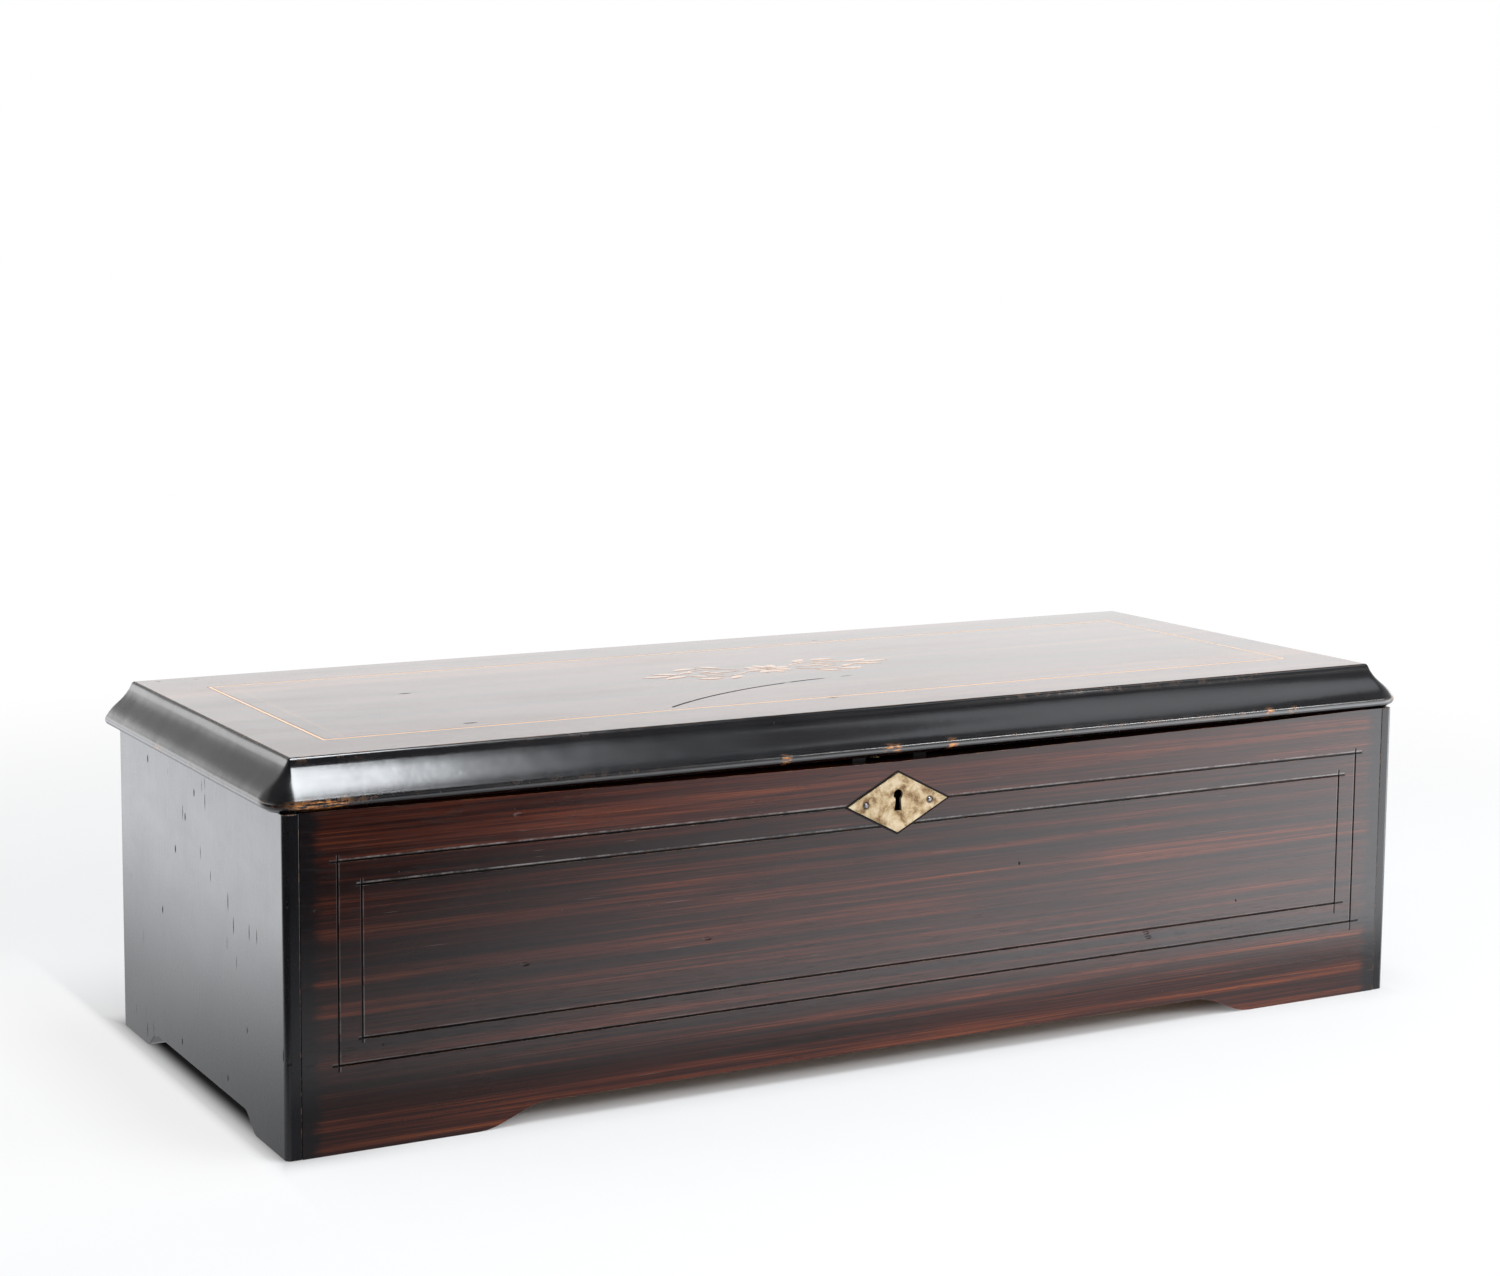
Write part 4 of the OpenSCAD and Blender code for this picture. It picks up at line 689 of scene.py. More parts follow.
@dataclass(frozen=True)
class Marquetry(Finish):
    """Shaded inlay under the lid's polish."""

    light: Colour = (0.62, 0.34, 0.17)
    dark: Colour = (0.25, 0.10, 0.04)

    def paint(self, g: Graph) -> None:
        """Sand-shaded wood: darker towards one edge of every leaf."""
        shade = g.attribute("shade")
        fibre = g.noise((60, 900, 60), 3, 0.6)
        share = g.math("ADD", g.times(shade, 0.8), g.times(fibre, 0.3), True)
        g.set(Base_Color=g.mix(share, self.light, self.dark),
              Roughness=g.ease(fibre, 0.3, 0.7, 0.16, 0.22),
              Normal=g.bump(fibre, 0.004), Coat_Weight=1.0, Coat_Roughness=0.06,
              Specular_IOR_Level=0.0)


@dataclass(frozen=True)
class Glass(Finish):
    """Old window glass, slightly wavy, with a little dust."""

    def paint(self, g: Graph) -> None:
        """Clear and faintly green, with waves and a film of dust."""
        waves = g.noise((9, 15, 9), 1)
        dust = g.noise(500, 4, 0.7)
        g.set(Base_Color=(0.93, 0.975, 0.955), Transmission_Weight=1.0, IOR=1.5,
              Normal=g.bump(waves, 0.01),
              Roughness=g.ease(dust, 0.5, 0.8, 0.0, 0.03))


class Woods:
    """The finishes of the wooden pieces."""

    black = Ebonised("ebonised_ends", "black_wood", (620, 620, 55), gloss=0.2)
    black_long = Ebonised("ebonised_back", "black_wood", (55, 620, 620), gloss=0.2, knocks=0.4,
                          strip_y=-1.0)
    moulding = Ebonised("ebonised_moulding", "black_wood", (60, 700, 700), gloss=0.16, ior=1.6,
                        tooth=0.012, knocks=0.1, strip_y=-1.0)
    front = ScoredFront("rosewood_front", "rosewood", gloss=0.13, ior=1.6)
    lid = LidVeneer("lid_veneer", "lid_veneer", deep=(0.018, 0.008, 0.006),
                    body=(0.060, 0.023, 0.015), red=(0.125, 0.047, 0.028),
                    light=(0.27, 0.11, 0.058), coat=1.0, gloss=0.05, across=1)
    pine = PlainWood("pine", "pine")
    pine_cross = PlainWood("pine_blocks", "pine", (0.15, 0.085, 0.042), (0.31, 0.2, 0.11), 2, 0.7)
    stained, stained_deep = (
        PlainWood(name, "inner_wood", (0.014, 0.008, 0.006), (0.05, 0.026, 0.016), along, 0.36, 0.6)
        for name, along in (("stained_wood", 0), ("stained_wood_across", 1)))
    boxwood = Marquetry("boxwood", "boxwood", (0.72, 0.37, 0.14), (0.56, 0.26, 0.09))
    inlay = Marquetry("marquetry", "boxwood")


class Metals:
    """The finishes of the metal pieces and the glass."""

    escutcheon = OldEscutcheon("old_brass_plate", "old_brass")
    pin = Metal("pin_heads", "old_brass", (0.50, 0.49, 0.52), (0.2, 0.17, 0.16), (900, 900, 900),
                0.3, 0.6)
    dull_brass = Metal("dull_brass", "old_brass", (0.48, 0.36, 0.17), (0.19, 0.13, 0.06),
                       (200, 900, 900), 0.42, 0.7, 0.2)
    brass = Metal("brass", "brass", (0.78, 0.57, 0.25), (0.42, 0.27, 0.10), (900, 900, 900), 0.3,
                  0.35)
    turned_brass = Metal("turned_brass", "brass", (0.80, 0.60, 0.27), (0.46, 0.3, 0.12),
                         (1500, 90, 90), 0.3, 0.35)
    steel = Metal("steel", "steel", (0.60, 0.60, 0.60), (0.30, 0.28, 0.26), (120, 1200, 1200), 0.3,
                  0.35)
    comb = Metal("comb_steel", "steel", (0.68, 0.68, 0.68), (0.36, 0.34, 0.31), (1400, 60, 1400),
                 0.34, 0.3)
    turned_steel = Metal("turned_steel", "steel", (0.62, 0.62, 0.62), (0.32, 0.3, 0.28),
                         (1400, 120, 120), 0.28, 0.3)
    iron = Metal("lock_iron", "steel", (0.16, 0.15, 0.145), (0.07, 0.05, 0.042), (700, 700, 700),
                 0.6, 0.6, 0.3)
    blackened = Metal("blackened_iron", "steel", (0.02, 0.018, 0.017), (0.012, 0.01, 0.009),
                      (700, 700, 700), 0.7, 0.6, 0.3, 0.4)
    blued = Metal("blued_steel", "blued_steel", (0.055, 0.085, 0.20), (0.06, 0.05, 0.07),
                  (900, 900, 900), 0.26, 0.4)
    lead = Metal("lead", "lead", (0.26, 0.26, 0.27), (0.14, 0.14, 0.14), (500, 500, 500), 0.75, 0.6,
                 0.2, 0.6)
    gilt = CastIron("bronzed_iron", "gilt_iron")
    glass = Glass("old_glass", "glass")


# --------------------------------------------------------------------- meshes

MERGE = 0.002 * MM
FLAT_ANGLE = 0.6
HARD_ANGLE = 35.0
SMOOTH_ANGLE = 38.0


def dress(finish: Finish, *nodes: str) -> None:
    """Gives CAD nodes a finish.

    Args:
        finish: The finish.
        *nodes: Names of the nodes.
    """
    for name in nodes:
        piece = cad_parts[name]
        for slot in piece.material_slots:
            slot.material = finish.material()
        log.info("%s: %s", name, finish.name)


def placed(piece: bpy.types.Object, body: str, finish: Finish,
           replaced: Sequence[str] = ()) -> None:
    """Dresses a new piece and puts it on its body.

    Args:
        piece: The piece, with its place in its mesh.
        body: Name of the CAD body that it moves with.
        finish: Its finish.
        replaced: CAD nodes that it stands for.
    """
    piece.data.materials.clear()
    piece.data.materials.append(finish.material())
    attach(piece, body)
    if replaced:
        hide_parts(*replaced)
    log.info("%s on %s: %s", piece.name, body, finish.name)


def linked(name: str, data: bpy.types.ID) -> bpy.types.Object:
    """Makes an object of a mesh, lamp or camera and puts it in the scene."""
    made = bpy.data.objects.new(name, data)
    bpy.context.scene.collection.objects.link(made)
    return made


def shaded(mesh: bpy.types.Mesh, angle: float) -> None:
    """Shades a mesh smooth, apart from edges sharper than an angle in degrees."""
    mesh.shade_smooth()
    mesh.set_sharp_from_angle(angle=radians(angle))


@dataclass
class Loft:
    """Closed tubes lofted through rings of points, many at a time, in one mesh."""

    name: str
    rings: list[np.ndarray] = field(default_factory=list)
    marks: dict[str, list[np.ndarray]] = field(default_factory=dict)

    def add(self, rings: np.ndarray, **marks: np.ndarray) -> None:
        """Adds tubes.

        Args:
            rings: Points as an array of tubes × rings × points in a ring × 3.
            **marks: Point attributes, each of the rings' shape without its last axis.
        """
        self.rings.append(rings)
        for key, value in marks.items():
            self.marks.setdefault(key, []).append(np.broadcast_to(value, rings.shape[:-1]).ravel())

    def build(self, smooth: float = 40.0) -> bpy.types.Object:
        """Makes the object: a quad between every two neighbours, an end face on both ends.

        Args:
            smooth: Largest angle in degrees between faces that are shaded as one.

        Returns:
            The object, not yet on a body.
        """
        points, faces, base = [], [], 0
        for rings in self.rings:
            tubes, rows, cols, _ = rings.shape
            index = base + np.arange(tubes * rows * cols).reshape(tubes, rows, cols)
            turned = np.roll(index, -1, axis=2)
            quads = np.stack([index[:, :-1], turned[:, :-1], turned[:, 1:], index[:, 1:]], axis=-1)
            faces += quads.reshape(-1, 4).tolist()
            faces += index[:, 0, ::-1].tolist() + index[:, -1].tolist()
            points.append(rings.reshape(-1, 3))
            base += tubes * rows * cols
        mesh = bpy.data.meshes.new(self.name)
        mesh.from_pydata(np.concatenate(points).tolist(), [], faces)
        for key, values in self.marks.items():
            layer = mesh.attributes.new(key, "FLOAT", "POINT")
            layer.data.foreach_set("value", np.concatenate(values).astype(np.float32))
        bm = bmesh.new()
        bm.from_mesh(mesh)
        bmesh.ops.recalc_face_normals(bm, faces=bm.faces)
        bm.to_mesh(mesh)
        bm.free()
        shaded(mesh, smooth)
        return linked(self.name, mesh)


def softened(node: str, body: str, finish: Finish, width: float) -> None:
    """Replaces a CAD node by a copy with rounded edges, worn in the middle of every rounding.

    Args:
        node: Name of the CAD node.
        body: Name of its body.
        finish: Its finish, which may read the attribute wear.
        width: Width of the rounding in metres.
    """
    name = f"{node}_soft"
    mesh = bpy.data.meshes.new(name)
    bm = bmesh.new()
    bm.from_mesh(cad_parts[node].data)
    bmesh.ops.remove_doubles(bm, verts=bm.verts, dist=MERGE)
    bmesh.ops.dissolve_limit(bm, angle_limit=radians(FLAT_ANGLE), verts=bm.verts, edges=bm.edges)
    hard = [e for e in bm.edges if len(e.link_faces) == 2 and e.is_convex
            and e.calc_face_angle(0) > radians(HARD_ANGLE)]
    result = bmesh.ops.bevel(bm, geom=hard, offset=width, offset_type="OFFSET", segments=4,
                             profile=0.5,
                             affect="EDGES", clamp_overlap=True)
    rounded = set(result["faces"])
    layer = bm.verts.layers.float.new("wear")
    for vert in {v for f in rounded for v in f.verts}:
        vert[layer] = float(all(f in rounded for f in vert.link_faces))
    bmesh.ops.triangulate(bm, faces=[f for f in bm.faces if len(f.verts) > 4])
    bm.to_mesh(mesh)
    bm.free()
    shaded(mesh, SMOOTH_ANGLE)
    piece = linked(name, mesh)
    flat = piece.modifiers.new("flat_faces", "WEIGHTED_NORMAL")
    flat.weight = 100
    flat.keep_sharp = True
    placed(piece, body, finish, [node])


def ripple(along: np.ndarray, seed: int, waves: int, longest: float) -> np.ndarray:
    """Sum of sines with random phases and ever shorter waves, between about −1 and 1.

    Args:
        along: Where to work it out, in metres.
        seed: Seed of the phases.
        waves: Number of sines.
        longest: Length of the longest wave in metres.

    Returns:
        The values, of the shape of along.
    """
    rng = np.random.default_rng(seed)
    order = np.arange(1, waves + 1)
    phase = rng.uniform(0, 2 * pi, waves)
    return (np.sin(2 * pi * along[..., None] * order / longest + phase) / order).sum(-1) / 1.6


# ----------------------------------------------------------------------- case


@dataclass
class Case:
    """Boards of the case with rounded, rubbed edges, lock and hinges."""

    body: str = "case"
    edge: float = 0.45 * MM
    plate_edge: float = 0.35 * MM

    def build(self) -> None:
        """Dresses the case."""
        for node, finish in (("end_left", Woods.black), ("end_right", Woods.black),
                             ("back_board", Woods.black_long), ("front_board", Woods.front)):
            softened(node, self.body, finish, self.edge)
        softened("escutcheon", self.body, Metals.escutcheon, self.plate_edge)
        dress(Metals.pin, "escutcheon_pins")
        dress(Woods.pine, "bottom_board")
        dress(Woods.pine_cross, "glue_blocks")
        dress(Woods.stained_deep, "partition_left", "partition_right", "glass_ledges")
        dress(Metals.iron, "lock_case", "lock_bolt", "hinge_pins")
        dress(Metals.dull_brass, "case_hinge_leaves", "glass_hinges")


@dataclass
class GlassLid:
    """Inner lid: stained frame, pane and turned knob."""

    def build(self) -> None:
        """Dresses the inner lid."""
        dress(Woods.stained, "glass_lid_frame")
        dress(Metals.glass, "glass_pane")
        dress(Metals.turned_brass, "glass_lid_knob")


# ------------------------------------------------------------------------ lid


@dataclass
class Moulding:
    """The lid's moulding, swept round the front and both ends in one run.

    In section it has a round nose, an ogee leaning inwards, a steep step and a
    rounded top edge, as the solid does.
    """

    width: float = 12.2 * MM
    nose_r: float = 2.3 * MM
    height: float = 18 * MM
    base_z: float = 125 * MM
    board_half: float = 245.3 * MM
    front_y: float = -88.75 * MM
    back_y: float = 96.45 * MM
    corner: float = 0.94
    spacing: float = 1.6 * MM
    nose_lift: float = 0.9 * MM
    ogee_wave: float = 0.3 * MM
    swell: float = 0.10 * MM
    unevenness: float = 0.035 * MM

    def section(self) -> tuple[np.ndarray, np.ndarray, np.ndarray]:
        """The section's closed outline.

        Returns:
            Distance outwards from the board, height over the rim, and how rubbed
            each point is, from the nose's lower edge round to the foot.
        """
        nose = np.array([self.width - self.nose_r, self.nose_r + self.nose_lift])
        turn = np.radians(np.linspace(-80, 42, 14))
        bulge = nose + self.nose_r * np.stack([np.cos(turn), np.sin(turn)], -1)
        t = np.linspace(0, 1, 21)[1:, None]
        high = np.array([2 * MM, self.height - 2.9 * MM])
        wave = self.ogee_wave * np.sin(2 * pi * t) * np.array([cos(pi / 4), sin(pi / 4)])
        ogee = bulge[-1] + t * (high - bulge[-1]) + wave
        step = np.array([[1.55, 2.0], [1.1, 1.1], [0.85, 0.65], [0.5, 0.3], [0.1, 0.06]]) * MM
        step[:, 1] = self.height - step[:, 1]
        foot = np.array([[0, self.height / MM - 0.05], [0, 9], [0, 0.05], [3, 0], [8, 0]]) * MM
        under = np.array([[nose[0] - 0.8 * MM, 0.0]])
        outline = np.concatenate([under, bulge, ogee, step, foot])
        rubbed = np.concatenate([[0.5], np.exp(-((np.degrees(turn) - 8) / 34) ** 2), np.zeros(20),
                                 [0.2, 0.5, 0.8, 0.8, 0.5], np.zeros(5)])
        return outline[:, 0], outline[:, 1], rubbed

    def plan(self, out: np.ndarray) -> tuple[np.ndarray, np.ndarray, np.ndarray]:
        """Where each ring of the sweep lies, seen from above.

        The left end runs forwards, the front to the right, the right end back. At
        each corner a point at distance out turns on an arc of corner × out.

        Args:
            out: Distances outwards of the section's points.

        Returns:
            X and Y of rings × points, and the distance run by each ring.
        """
        radius = self.corner * out
        side = np.linspace(0, 1, int((self.back_y - self.front_y) / self.spacing))[:, None]
        face = np.linspace(-1, 1, int(2 * self.board_half / self.spacing))[:, None]
        turn = np.radians(np.linspace(0, 90, 13))[1:-1, None]
        edge_x = -(self.board_half + out)
        inner_y = self.front_y - (out - radius)
        left_x = np.broadcast_to(edge_x, (len(side), len(out)))
        left_y = self.back_y + side * (inner_y - self.back_y)
        bend_x = edge_x + radius * (1 - np.cos(turn))
        bend_y = inner_y - radius * np.sin(turn)
        face_x = face * (self.board_half + out - radius)
        face_y = np.broadcast_to(self.front_y - out, face_x.shape)
        x = np.concatenate([left_x, bend_x, face_x, -bend_x[::-1], -left_x[::-1]])
        y = np.concatenate([left_y, bend_y, face_y, bend_y[::-1], left_y[::-1]])
        step = np.hypot(np.diff(x.mean(1)), np.diff(y.mean(1)))
        return x, y, np.concatenate([[0], np.cumsum(step)])

    def build(self) -> None:
        """Sweeps the moulding, a little uneven by hand, with its rubbed and chipped places."""
        out, up, rubbed = self.section()
        x, y, run = self.plan(out)
        swell = self.swell * ripple(run, 3, 7, 0.31)[:, None] * (out > 1 * MM)[None, :]
        shown = (up > 0.4 * MM) & (out > 0.6 * MM)
        grain = self.unevenness * ripple(run[:, None] + up[None, :] * 0.9, 11, 24, 0.23) * shown
        z = self.base_z + up[None, :] + grain
        away = np.stack([x - np.clip(x, -self.board_half, self.board_half),
                         y - np.maximum(y, self.front_y)], -1)
        away /= np.maximum(np.linalg.norm(away, axis=-1, keepdims=True), 1e-6)
        rings = np.stack([x + swell * away[..., 0], y + swell * away[..., 1], z], -1)
        wear = rubbed[None, :] * (0.12 + 0.5 * ripple(run, 21, 9, 0.4)[:, None])
        chip = np.zeros_like(x)
        low = np.exp(-((up - 2.7 * MM) / (2.0 * MM)) ** 2)[None, :]
        for place, reach in self.chips():
            chip = np.maximum(chip, np.exp(-((run[:, None] - place) / reach) ** 4) * low)
        loft = Loft("lid_moulding")
        loft.add(rings[None], wear=np.clip(wear, 0, 1)[None], chip=np.clip(chip * 1.25, 0, 1)[None])
        placed(loft.build(32), "lid", Woods.moulding,
               ["lid_moulding_front", "lid_moulding_left", "lid_moulding_right"])

    def chips(self) -> list[tuple[float, float]]:
        """Places along the run where the nose has lost its stain, and their reach."""
        start = self.back_y - self.front_y + self.width
        front = 2 * self.board_half + self.width
        along_front = ((0.385, 2 * MM), (0.48, 4 * MM), (0.535, 2.5 * MM), (0.85, 2.5 * MM),
                       (0.875, 2 * MM))
        corners = [(start + 7 * MM, 11 * MM), (start + front - 4 * MM, 6 * MM)]
        ends = [(0.07, 5 * MM), (start + front + 0.09, 7 * MM)]
        return corners + ends + [(start + share * front, reach) for share, reach in along_front]


class Leaf(Enum):
    """Outlines of the marquetry's pieces: how wide each is along its length."""

    POINTED = 0.9
    ROUND = 0.5
    STEM = 0.12


@dataclass
class Spray:
    """Marquetry on the lid: a round flower between two leafy scrolls, alike on both sides."""

    top_z: float = 143 * MM
    centre: tuple[float, float] = (4 * MM, 12 * MM)
    proud: float = 0.03 * MM
    depth: float = 0.3 * MM
    rows: int = 28
    loft: Loft = field(default_factory=lambda: Loft("lid_marquetry"))

    def leaf(self, start: tuple[float, float], heading: float, length: float, width: float,
             bend: float = 0.0, kind: Leaf = Leaf.POINTED) -> None:
        """Adds a flat leaf along an arc.

        The middle line turns steadily by bend. The half width at t along it is
        width × sin(π t) to the power of the kind's value.

        Args:
            start: Where it begins, from the centre of the spray.
            heading: Direction at its start, in degrees from X.
            length: Length of its middle line.
            width: Half of its largest width.
            bend: Turn from end to end, in degrees.
            kind: Outline.
        """
        t = np.linspace(0.004, 0.996, self.rows)
        angle = np.radians(heading + bend * t)
        step = length / self.rows
        line = np.stack([np.cumsum(np.cos(angle)), np.cumsum(np.sin(angle))], -1) * step
        line += np.array(self.centre) + np.array(start) * MM
        normal = np.stack([-np.sin(angle), np.cos(angle)], -1)
        half = width * np.sin(pi * t) ** kind.value
        across = np.array([-1, -0.86, 0, 0.86, 1, 1, -1])
        lift = np.array([0, self.proud, self.proud * 1.3, self.proud, 0, -self.depth, -self.depth])
        flat = line[:, None] + normal[:, None] * (half[:, None] * across)[..., None]
        z = np.broadcast_to(self.top_z + lift, flat.shape[:-1])
        shade = np.broadcast_to((across + 1) / 2, flat.shape[:-1])
        self.loft.add(np.concatenate([flat, z[..., None]], -1)[None], shade=shade[None])

    def build(self) -> None:
        """Lays the flower, the scrolls and their leaves."""
        for turn in range(10, 370, 45):
            petal = (2.6 * cos(radians(turn)), 2.6 * sin(radians(turn)))
            self.leaf(petal, turn, 8 * MM, 2.5 * MM, 0, Leaf.ROUND)
        for row in range(3):
            self.leaf((-1.8, -1.6 + 1.6 * row), 0, 3.6 * MM, 0.7 * MM, 0, Leaf.ROUND)
        scroll = (((11, 2), 48, 34, 0.8, -95, Leaf.STEM),
                  ((18, 8.5), 62, 12, 2.2, -40, Leaf.POINTED),
                  ((27, 12), 20, 13, 2.4, -50, Leaf.POINTED),
                  ((33, 8.5), -70, 8, 1.7, 60, Leaf.POINTED),
                  ((38, 3.5), -8, 15, 2.3, 45, Leaf.POINTED),
                  ((24, 5.5), -40, 8, 1.5, 50, Leaf.POINTED))
        for side, facing in ((1, 0), (-1, 180)):
            for up in (1, -1):
                for (x, y), heading, length, width, bend, kind in scroll:
                    self.leaf((x * side, y * up), facing + heading * up * side, length * MM,
                              width * MM,
                              bend * up * side, kind)
            self.leaf((44 * side, 0), facing, 16 * MM, 2.1 * MM)
            self.leaf((13 * side, 0), facing, 20 * MM, 1.3 * MM)
        placed(self.loft.build(), "lid", Woods.inlay)


@dataclass
class Lid:
    """Lid board, moulding, inlaid line, marquetry and ironwork."""

    edge: float = 0.25 * MM

    def build(self) -> None:
        """Dresses the lid."""
        softened("lid_board", "lid", Woods.lid, self.edge)
        Moulding().build()
        Spray().build()
        dress(Woods.boxwood, "lid_inlay_line")
        dress(Metals.dull_brass, "lid_hinge_leaves")
        dress(Metals.blackened, "lock_keeper")


# ------------------------------------------------------------------- movement


@dataclass
class PinnedCylinder:
    """Steel pins of the tune cylinder: a ring of them for each tooth and tune."""

    teeth: int = 72
    tunes: int = 8
    pins_in_ring: int = 5
    pin_r: float = 0.11 * MM
    sink: float = 0.05 * MM
    sides: int = 5

    def build(self) -> None:
        """Sets the pins: every ring has its own random places round the cylinder."""
        low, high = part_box("cylinder_sleeve")
        far_low, far_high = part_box("cylinder_pins")
        axis_y, axis_z = (low.y + high.y) / 2, (low.z + high.z) / 2
        radius = (high.z - low.z) / 2
        tip = (far_high.z - far_low.z) / 2
        rng = np.random.default_rng(8)
        rings = np.linspace(far_low.x + self.pin_r, far_high.x - self.pin_r,
                            self.teeth * self.tunes)
        x = np.repeat(rings, self.pins_in_ring)
        angle = rng.uniform(0, 2 * pi, len(x))
        turn = np.linspace(0, 2 * pi, self.sides, endpoint=False)
        reach = np.array([radius - self.sink, tip])
        out = np.stack([np.zeros_like(angle), np.cos(angle), np.sin(angle)], -1)
        side = np.stack([np.zeros_like(angle), -np.sin(angle), np.cos(angle)], -1)
        centre = np.array([0, axis_y, axis_z])
        rings = (centre + out[:, None, None] * reach[:, None, None]
                 + self.pin_r * (np.cos(turn)[:, None] * np.array([1.0, 0, 0])
                                 + np.sin(turn)[:, None] * side[:, None, None]))
        rings[..., 0] += x[:, None, None]
        loft = Loft("cylinder_pinning")
        loft.add(rings)
        placed(loft.build(20), "cylinder", Metals.turned_steel, ["cylinder_pins"])


@dataclass
class Movement:
    """Everything on the bedplate, and the controls beside it."""

    def build(self) -> None:
        """Dresses the movement."""
        dress(Metals.gilt, "bedplate", "comb_base")
        dress(Metals.blued, "bedplate_bolts", "comb_screws", "bridge_screws", "click_spring")
        dress(Metals.comb, "comb")
        dress(Metals.lead, "comb_weights")
        dress(Metals.brass, "barrel_bridge_left", "barrel_bridge_right", "arbor_bracket_left",
              "arbor_bracket_right",
              "governor_frame", "control_plates", "barrel_cap", "barrel_wheel", "great_wheel",
              "cylinder_heads")
        dress(Metals.turned_brass, "barrel_drum", "cylinder_sleeve")
        dress(Metals.blued, "mainspring")
        dress(Metals.steel, "stopwork_star", "ratchet_wheel", "click", "key", "tune_snail",
              "start_stop_lever", "change_lever")
        dress(Metals.turned_steel, "winding_arbor", "cylinder_arbor", "governor_first_arbor",
              "governor_second_arbor",
              "fan_spindle")
        PinnedCylinder().build()


# --------------------------------------------------------------------- studio


@dataclass
class Softbox:
    """One flat lamp that looks at a point."""

    name: str
    place: tuple[float, float, float]
    size: tuple[float, float]
    power: float
    target: tuple[float, float, float] = (0.0, 0.0, 0.07)
    colour: Colour = WHITE
    mirrored: bool = False

    def build(self) -> None:
        """Adds the lamp. Only the mirrored ones show in polish."""
        data = bpy.data.lights.new(self.name, "AREA")
        data.shape = "RECTANGLE"
        data.size, data.size_y = self.size
        data.energy = self.power
        data.color = self.colour
        lamp = linked(self.name, data)
        lamp.visible_glossy = self.mirrored
        aim = Vector(self.target) - Vector(self.place)
        turn = aim.to_track_quat("-Z", "Y").to_matrix().to_4x4()
        lamp.matrix_world = Matrix.Translation(self.place) @ turn


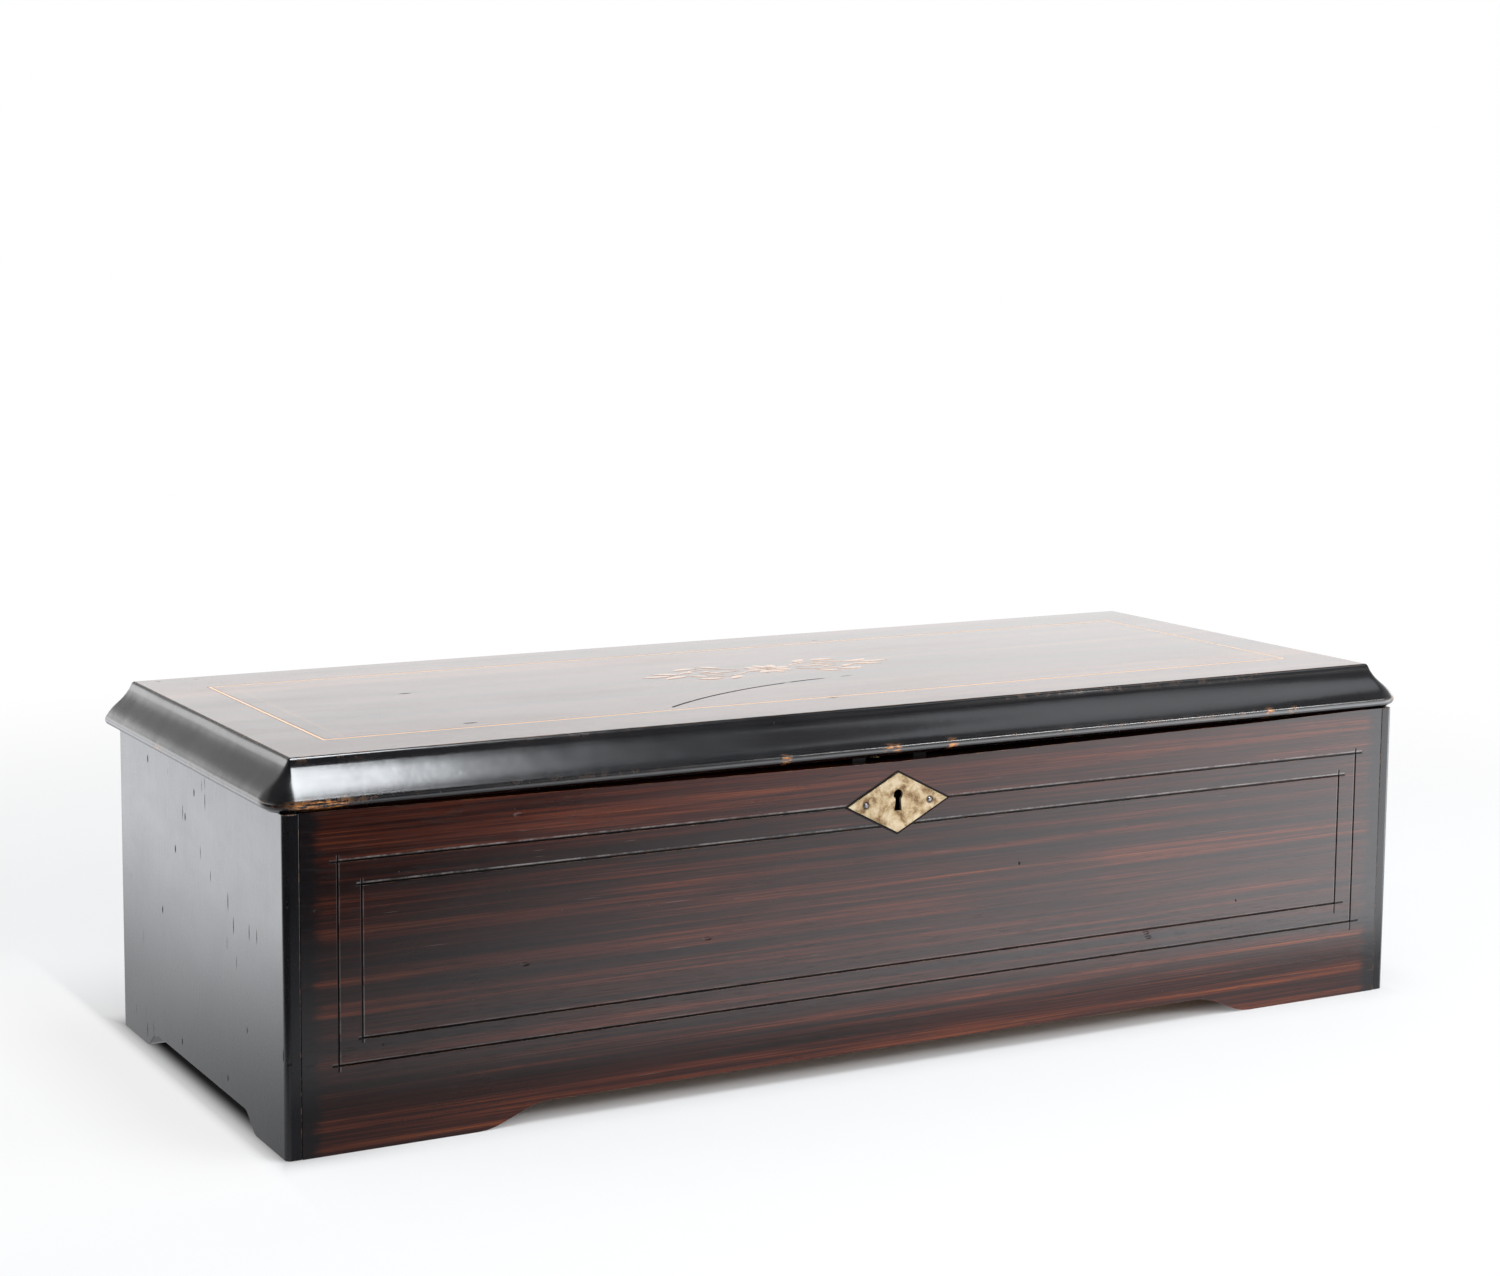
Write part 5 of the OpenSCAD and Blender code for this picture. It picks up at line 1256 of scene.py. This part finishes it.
@dataclass
class Studio:
    """White studio: sweep, soft lamps, ambient light and the camera."""

    eye: tuple[float, float, float] = (-0.58246, -1.03037, 0.33286)
    azimuth: float = 28.984
    elevation: float = 6.993
    roll: float = 0.497
    lens: float = 68.414
    rise: float = -0.04684
    ambient: float = 0.45
    floor_half: float = 9.0
    paper_dark: Colour = (0.855, 0.86, 0.87)
    paper_light: Colour = (0.875, 0.88, 0.89)
    mirrored_paper: Colour = (0.95, 0.965, 1.0)
    foot_x: float = 0.252
    foot_y: float = 0.098
    lamps: Sequence[Softbox] = (
        Softbox("overhead", (0.14, -0.42, 1.5), (0.42, 1.0), 14.0, (0.14, -0.30, 0.0), COOL, True),
        Softbox("glint", (0.95, -1.15, 0.70), (0.5, 0.12), 3.0, (0.2, -0.1, 0.13), mirrored=True),
        Softbox("sheen", (1.15, -0.35, 1.5), (0.9, 0.5), 1.1, (0.2, -0.1, 0.13), COOL, True),
        Softbox("front_right", (1.35, -1.0, 0.35), (0.8, 0.7), 10.0),
        Softbox("back_left", (-1.9, 0.7, 0.5), (1.0, 0.9), 6.0),
        Softbox("front_fill", (-0.7, -1.8, 1.3), (1.2, 0.8), 7.0),
    )

    def camera(self) -> None:
        """Adds the camera: it looks down by elevation, from azimuth left of the front."""
        az, el, roll = (radians(a) for a in (self.azimuth, self.elevation, self.roll))
        look = Vector((sin(az) * cos(el), cos(az) * cos(el), -sin(el)))
        right = look.cross(Vector((0, 0, 1))).normalized()
        up = right.cross(look)
        turned_right = right * cos(roll) + up * sin(roll)
        turned_up = up * cos(roll) - right * sin(roll)
        turn = Matrix((turned_right, turned_up, -look)).transposed()
        data = bpy.data.cameras.new("camera")
        data.lens = self.lens
        data.sensor_width = 36.0
        data.sensor_fit = "HORIZONTAL"
        data.shift_y = self.rise
        data.clip_end = 50.0
        camera = linked("camera", data)
        camera.matrix_world = Matrix.Translation(self.eye) @ turn.to_4x4()
        bpy.context.scene.camera = camera

    def world(self) -> None:
        """Plain ambient light, and white for rays that see the background.

        What polish mirrors is brightest low down, dimmer higher up, and dark at
        the front apart from the far right.
        """
        sky = Sky("studio")
        bpy.context.scene.world = sky.world
        rays = sky.rays()
        x, y, z = (sky.axis(i) for i in range(3))
        height = sky.times(sky.ease(z, 0.17, 0.28, 1.5, 0.3), sky.ease(z, 0.5, 0.72, 1.0, 0.3))
        sideways = sky.most(sky.ease(y, -0.6, 0.1), sky.ease(x, 0.3, 0.8, 0.12, 1.0))
        mirrored = sky.light(sky.times(height, sideways))
        lit = sky.blend(rays["Is Glossy Ray"], sky.light(self.ambient), mirrored)
        seen = sky.most(rays["Is Camera Ray"], rays["Is Transmission Ray"])
        sky.node("ShaderNodeOutputWorld", {"Surface": sky.blend(seen, lit, sky.light(1.0))})

    def floor(self) -> None:
        """A pale sweep that keeps the object's shadow.

        It has a painted shadow under the case, darkest under its left end; it is lit a little
        of its own at the left of it and far from it, and mirrored as the glow alone.
        """
        half = self.floor_half
        corners = [(-half, -half, 0), (half, -half, 0), (half, half, 0), (-half, half, 0)]
        mesh = bpy.data.meshes.new("floor")
        mesh.from_pydata(corners, [], [(0, 1, 2, 3)])
        g = Graph("sweep")
        rays, x, y = g.rays(), g.axis(0), g.axis(1)
        beyond = g.most(g.minus(g.absolute(x), self.foot_x),
                        g.times(g.minus(g.absolute(y), self.foot_y), 0.35))
        open_floor = g.ease(beyond, -6 * MM, 6 * MM)
        paper = g.mix(g.noise(40, 2), self.paper_dark, self.paper_light)
        # painted shadow: the floor's colour is darkened under the case, most under its left end
        under = g.mix(g.ease(x, -0.25, -0.19, 0.05, 0.8), (0.0, 0.0, 0.0), WHITE)
        g.set(Base_Color=g.mix(open_floor, under, paper), Roughness=0.9, Specular_IOR_Level=0.1)
        seen = rays["Is Camera Ray"]
        glow = g.node("ShaderNodeEmission", {"Color": g.mix(seen, self.mirrored_paper, WHITE),
                                             "Strength": self.floor_glow(g, seen, x, y)})
        left = g.times(g.ease(x, -0.249, -0.262, 0.0, 0.78), g.ease(y, -0.26, -0.09),
                       g.ease(y, 0.4, 0.12))
        faded = g.times(seen, open_floor,
                        g.most(g.ease(g.hypot(x, y), 0.35, 0.95, 0.45, 1.0), left))
        share = g.most(faded, rays["Is Glossy Ray"])
        g.feed(g.surface, g.blend(share, g.shader.outputs[0], glow.outputs[0]))
        mesh.materials.append(g.material)
        floor = linked("floor", mesh)

    def floor_glow(self, g: Graph, seen: Socket, x: Socket, y: Socket) -> Socket:
        """How bright the floor looks: white to the eye, and graded in the polish.

        Args:
            g: Graph of the floor.
            seen: 1 for rays of the camera.
            x: Coordinate to the right.
            y: Coordinate to the back.

        Returns:
            The strength of its glow.
        """
        slope = g.total((x, 4.6), (g.plus(y, 0.56), 4.5))
        limit = g.times(g.ease(x, -0.3, 0.3, 1.9, 3.7), g.ease(x, -0.46, -0.36, 0.66, 1.0))
        bright = g.most(g.math("MINIMUM", slope, limit), 0.01)
        shaded_strip = g.most(g.ease(g.minus(-0.25, x), 0.0, 0.2, 0.25, 1.0),
                              g.ease(y, -0.12, -0.22))
        return g.plus(seen, g.times(bright, shaded_strip, g.minus(1.0, seen)))

    def build(self) -> None:
        """Sets up the whole studio."""
        bpy.context.scene.view_settings.view_transform = "Standard"
        self.camera()
        self.world()
        self.floor()
        for lamp in self.lamps:
            lamp.build()


def main() -> None:
    """Builds the studio and every sub-assembly in order."""
    logging.basicConfig(level=logging.INFO, format="%(name)s %(message)s")
    Studio().build()
    Case().build()
    GlassLid().build()
    Lid().build()
    Movement().build()


if __name__ == "__main__":
    main()
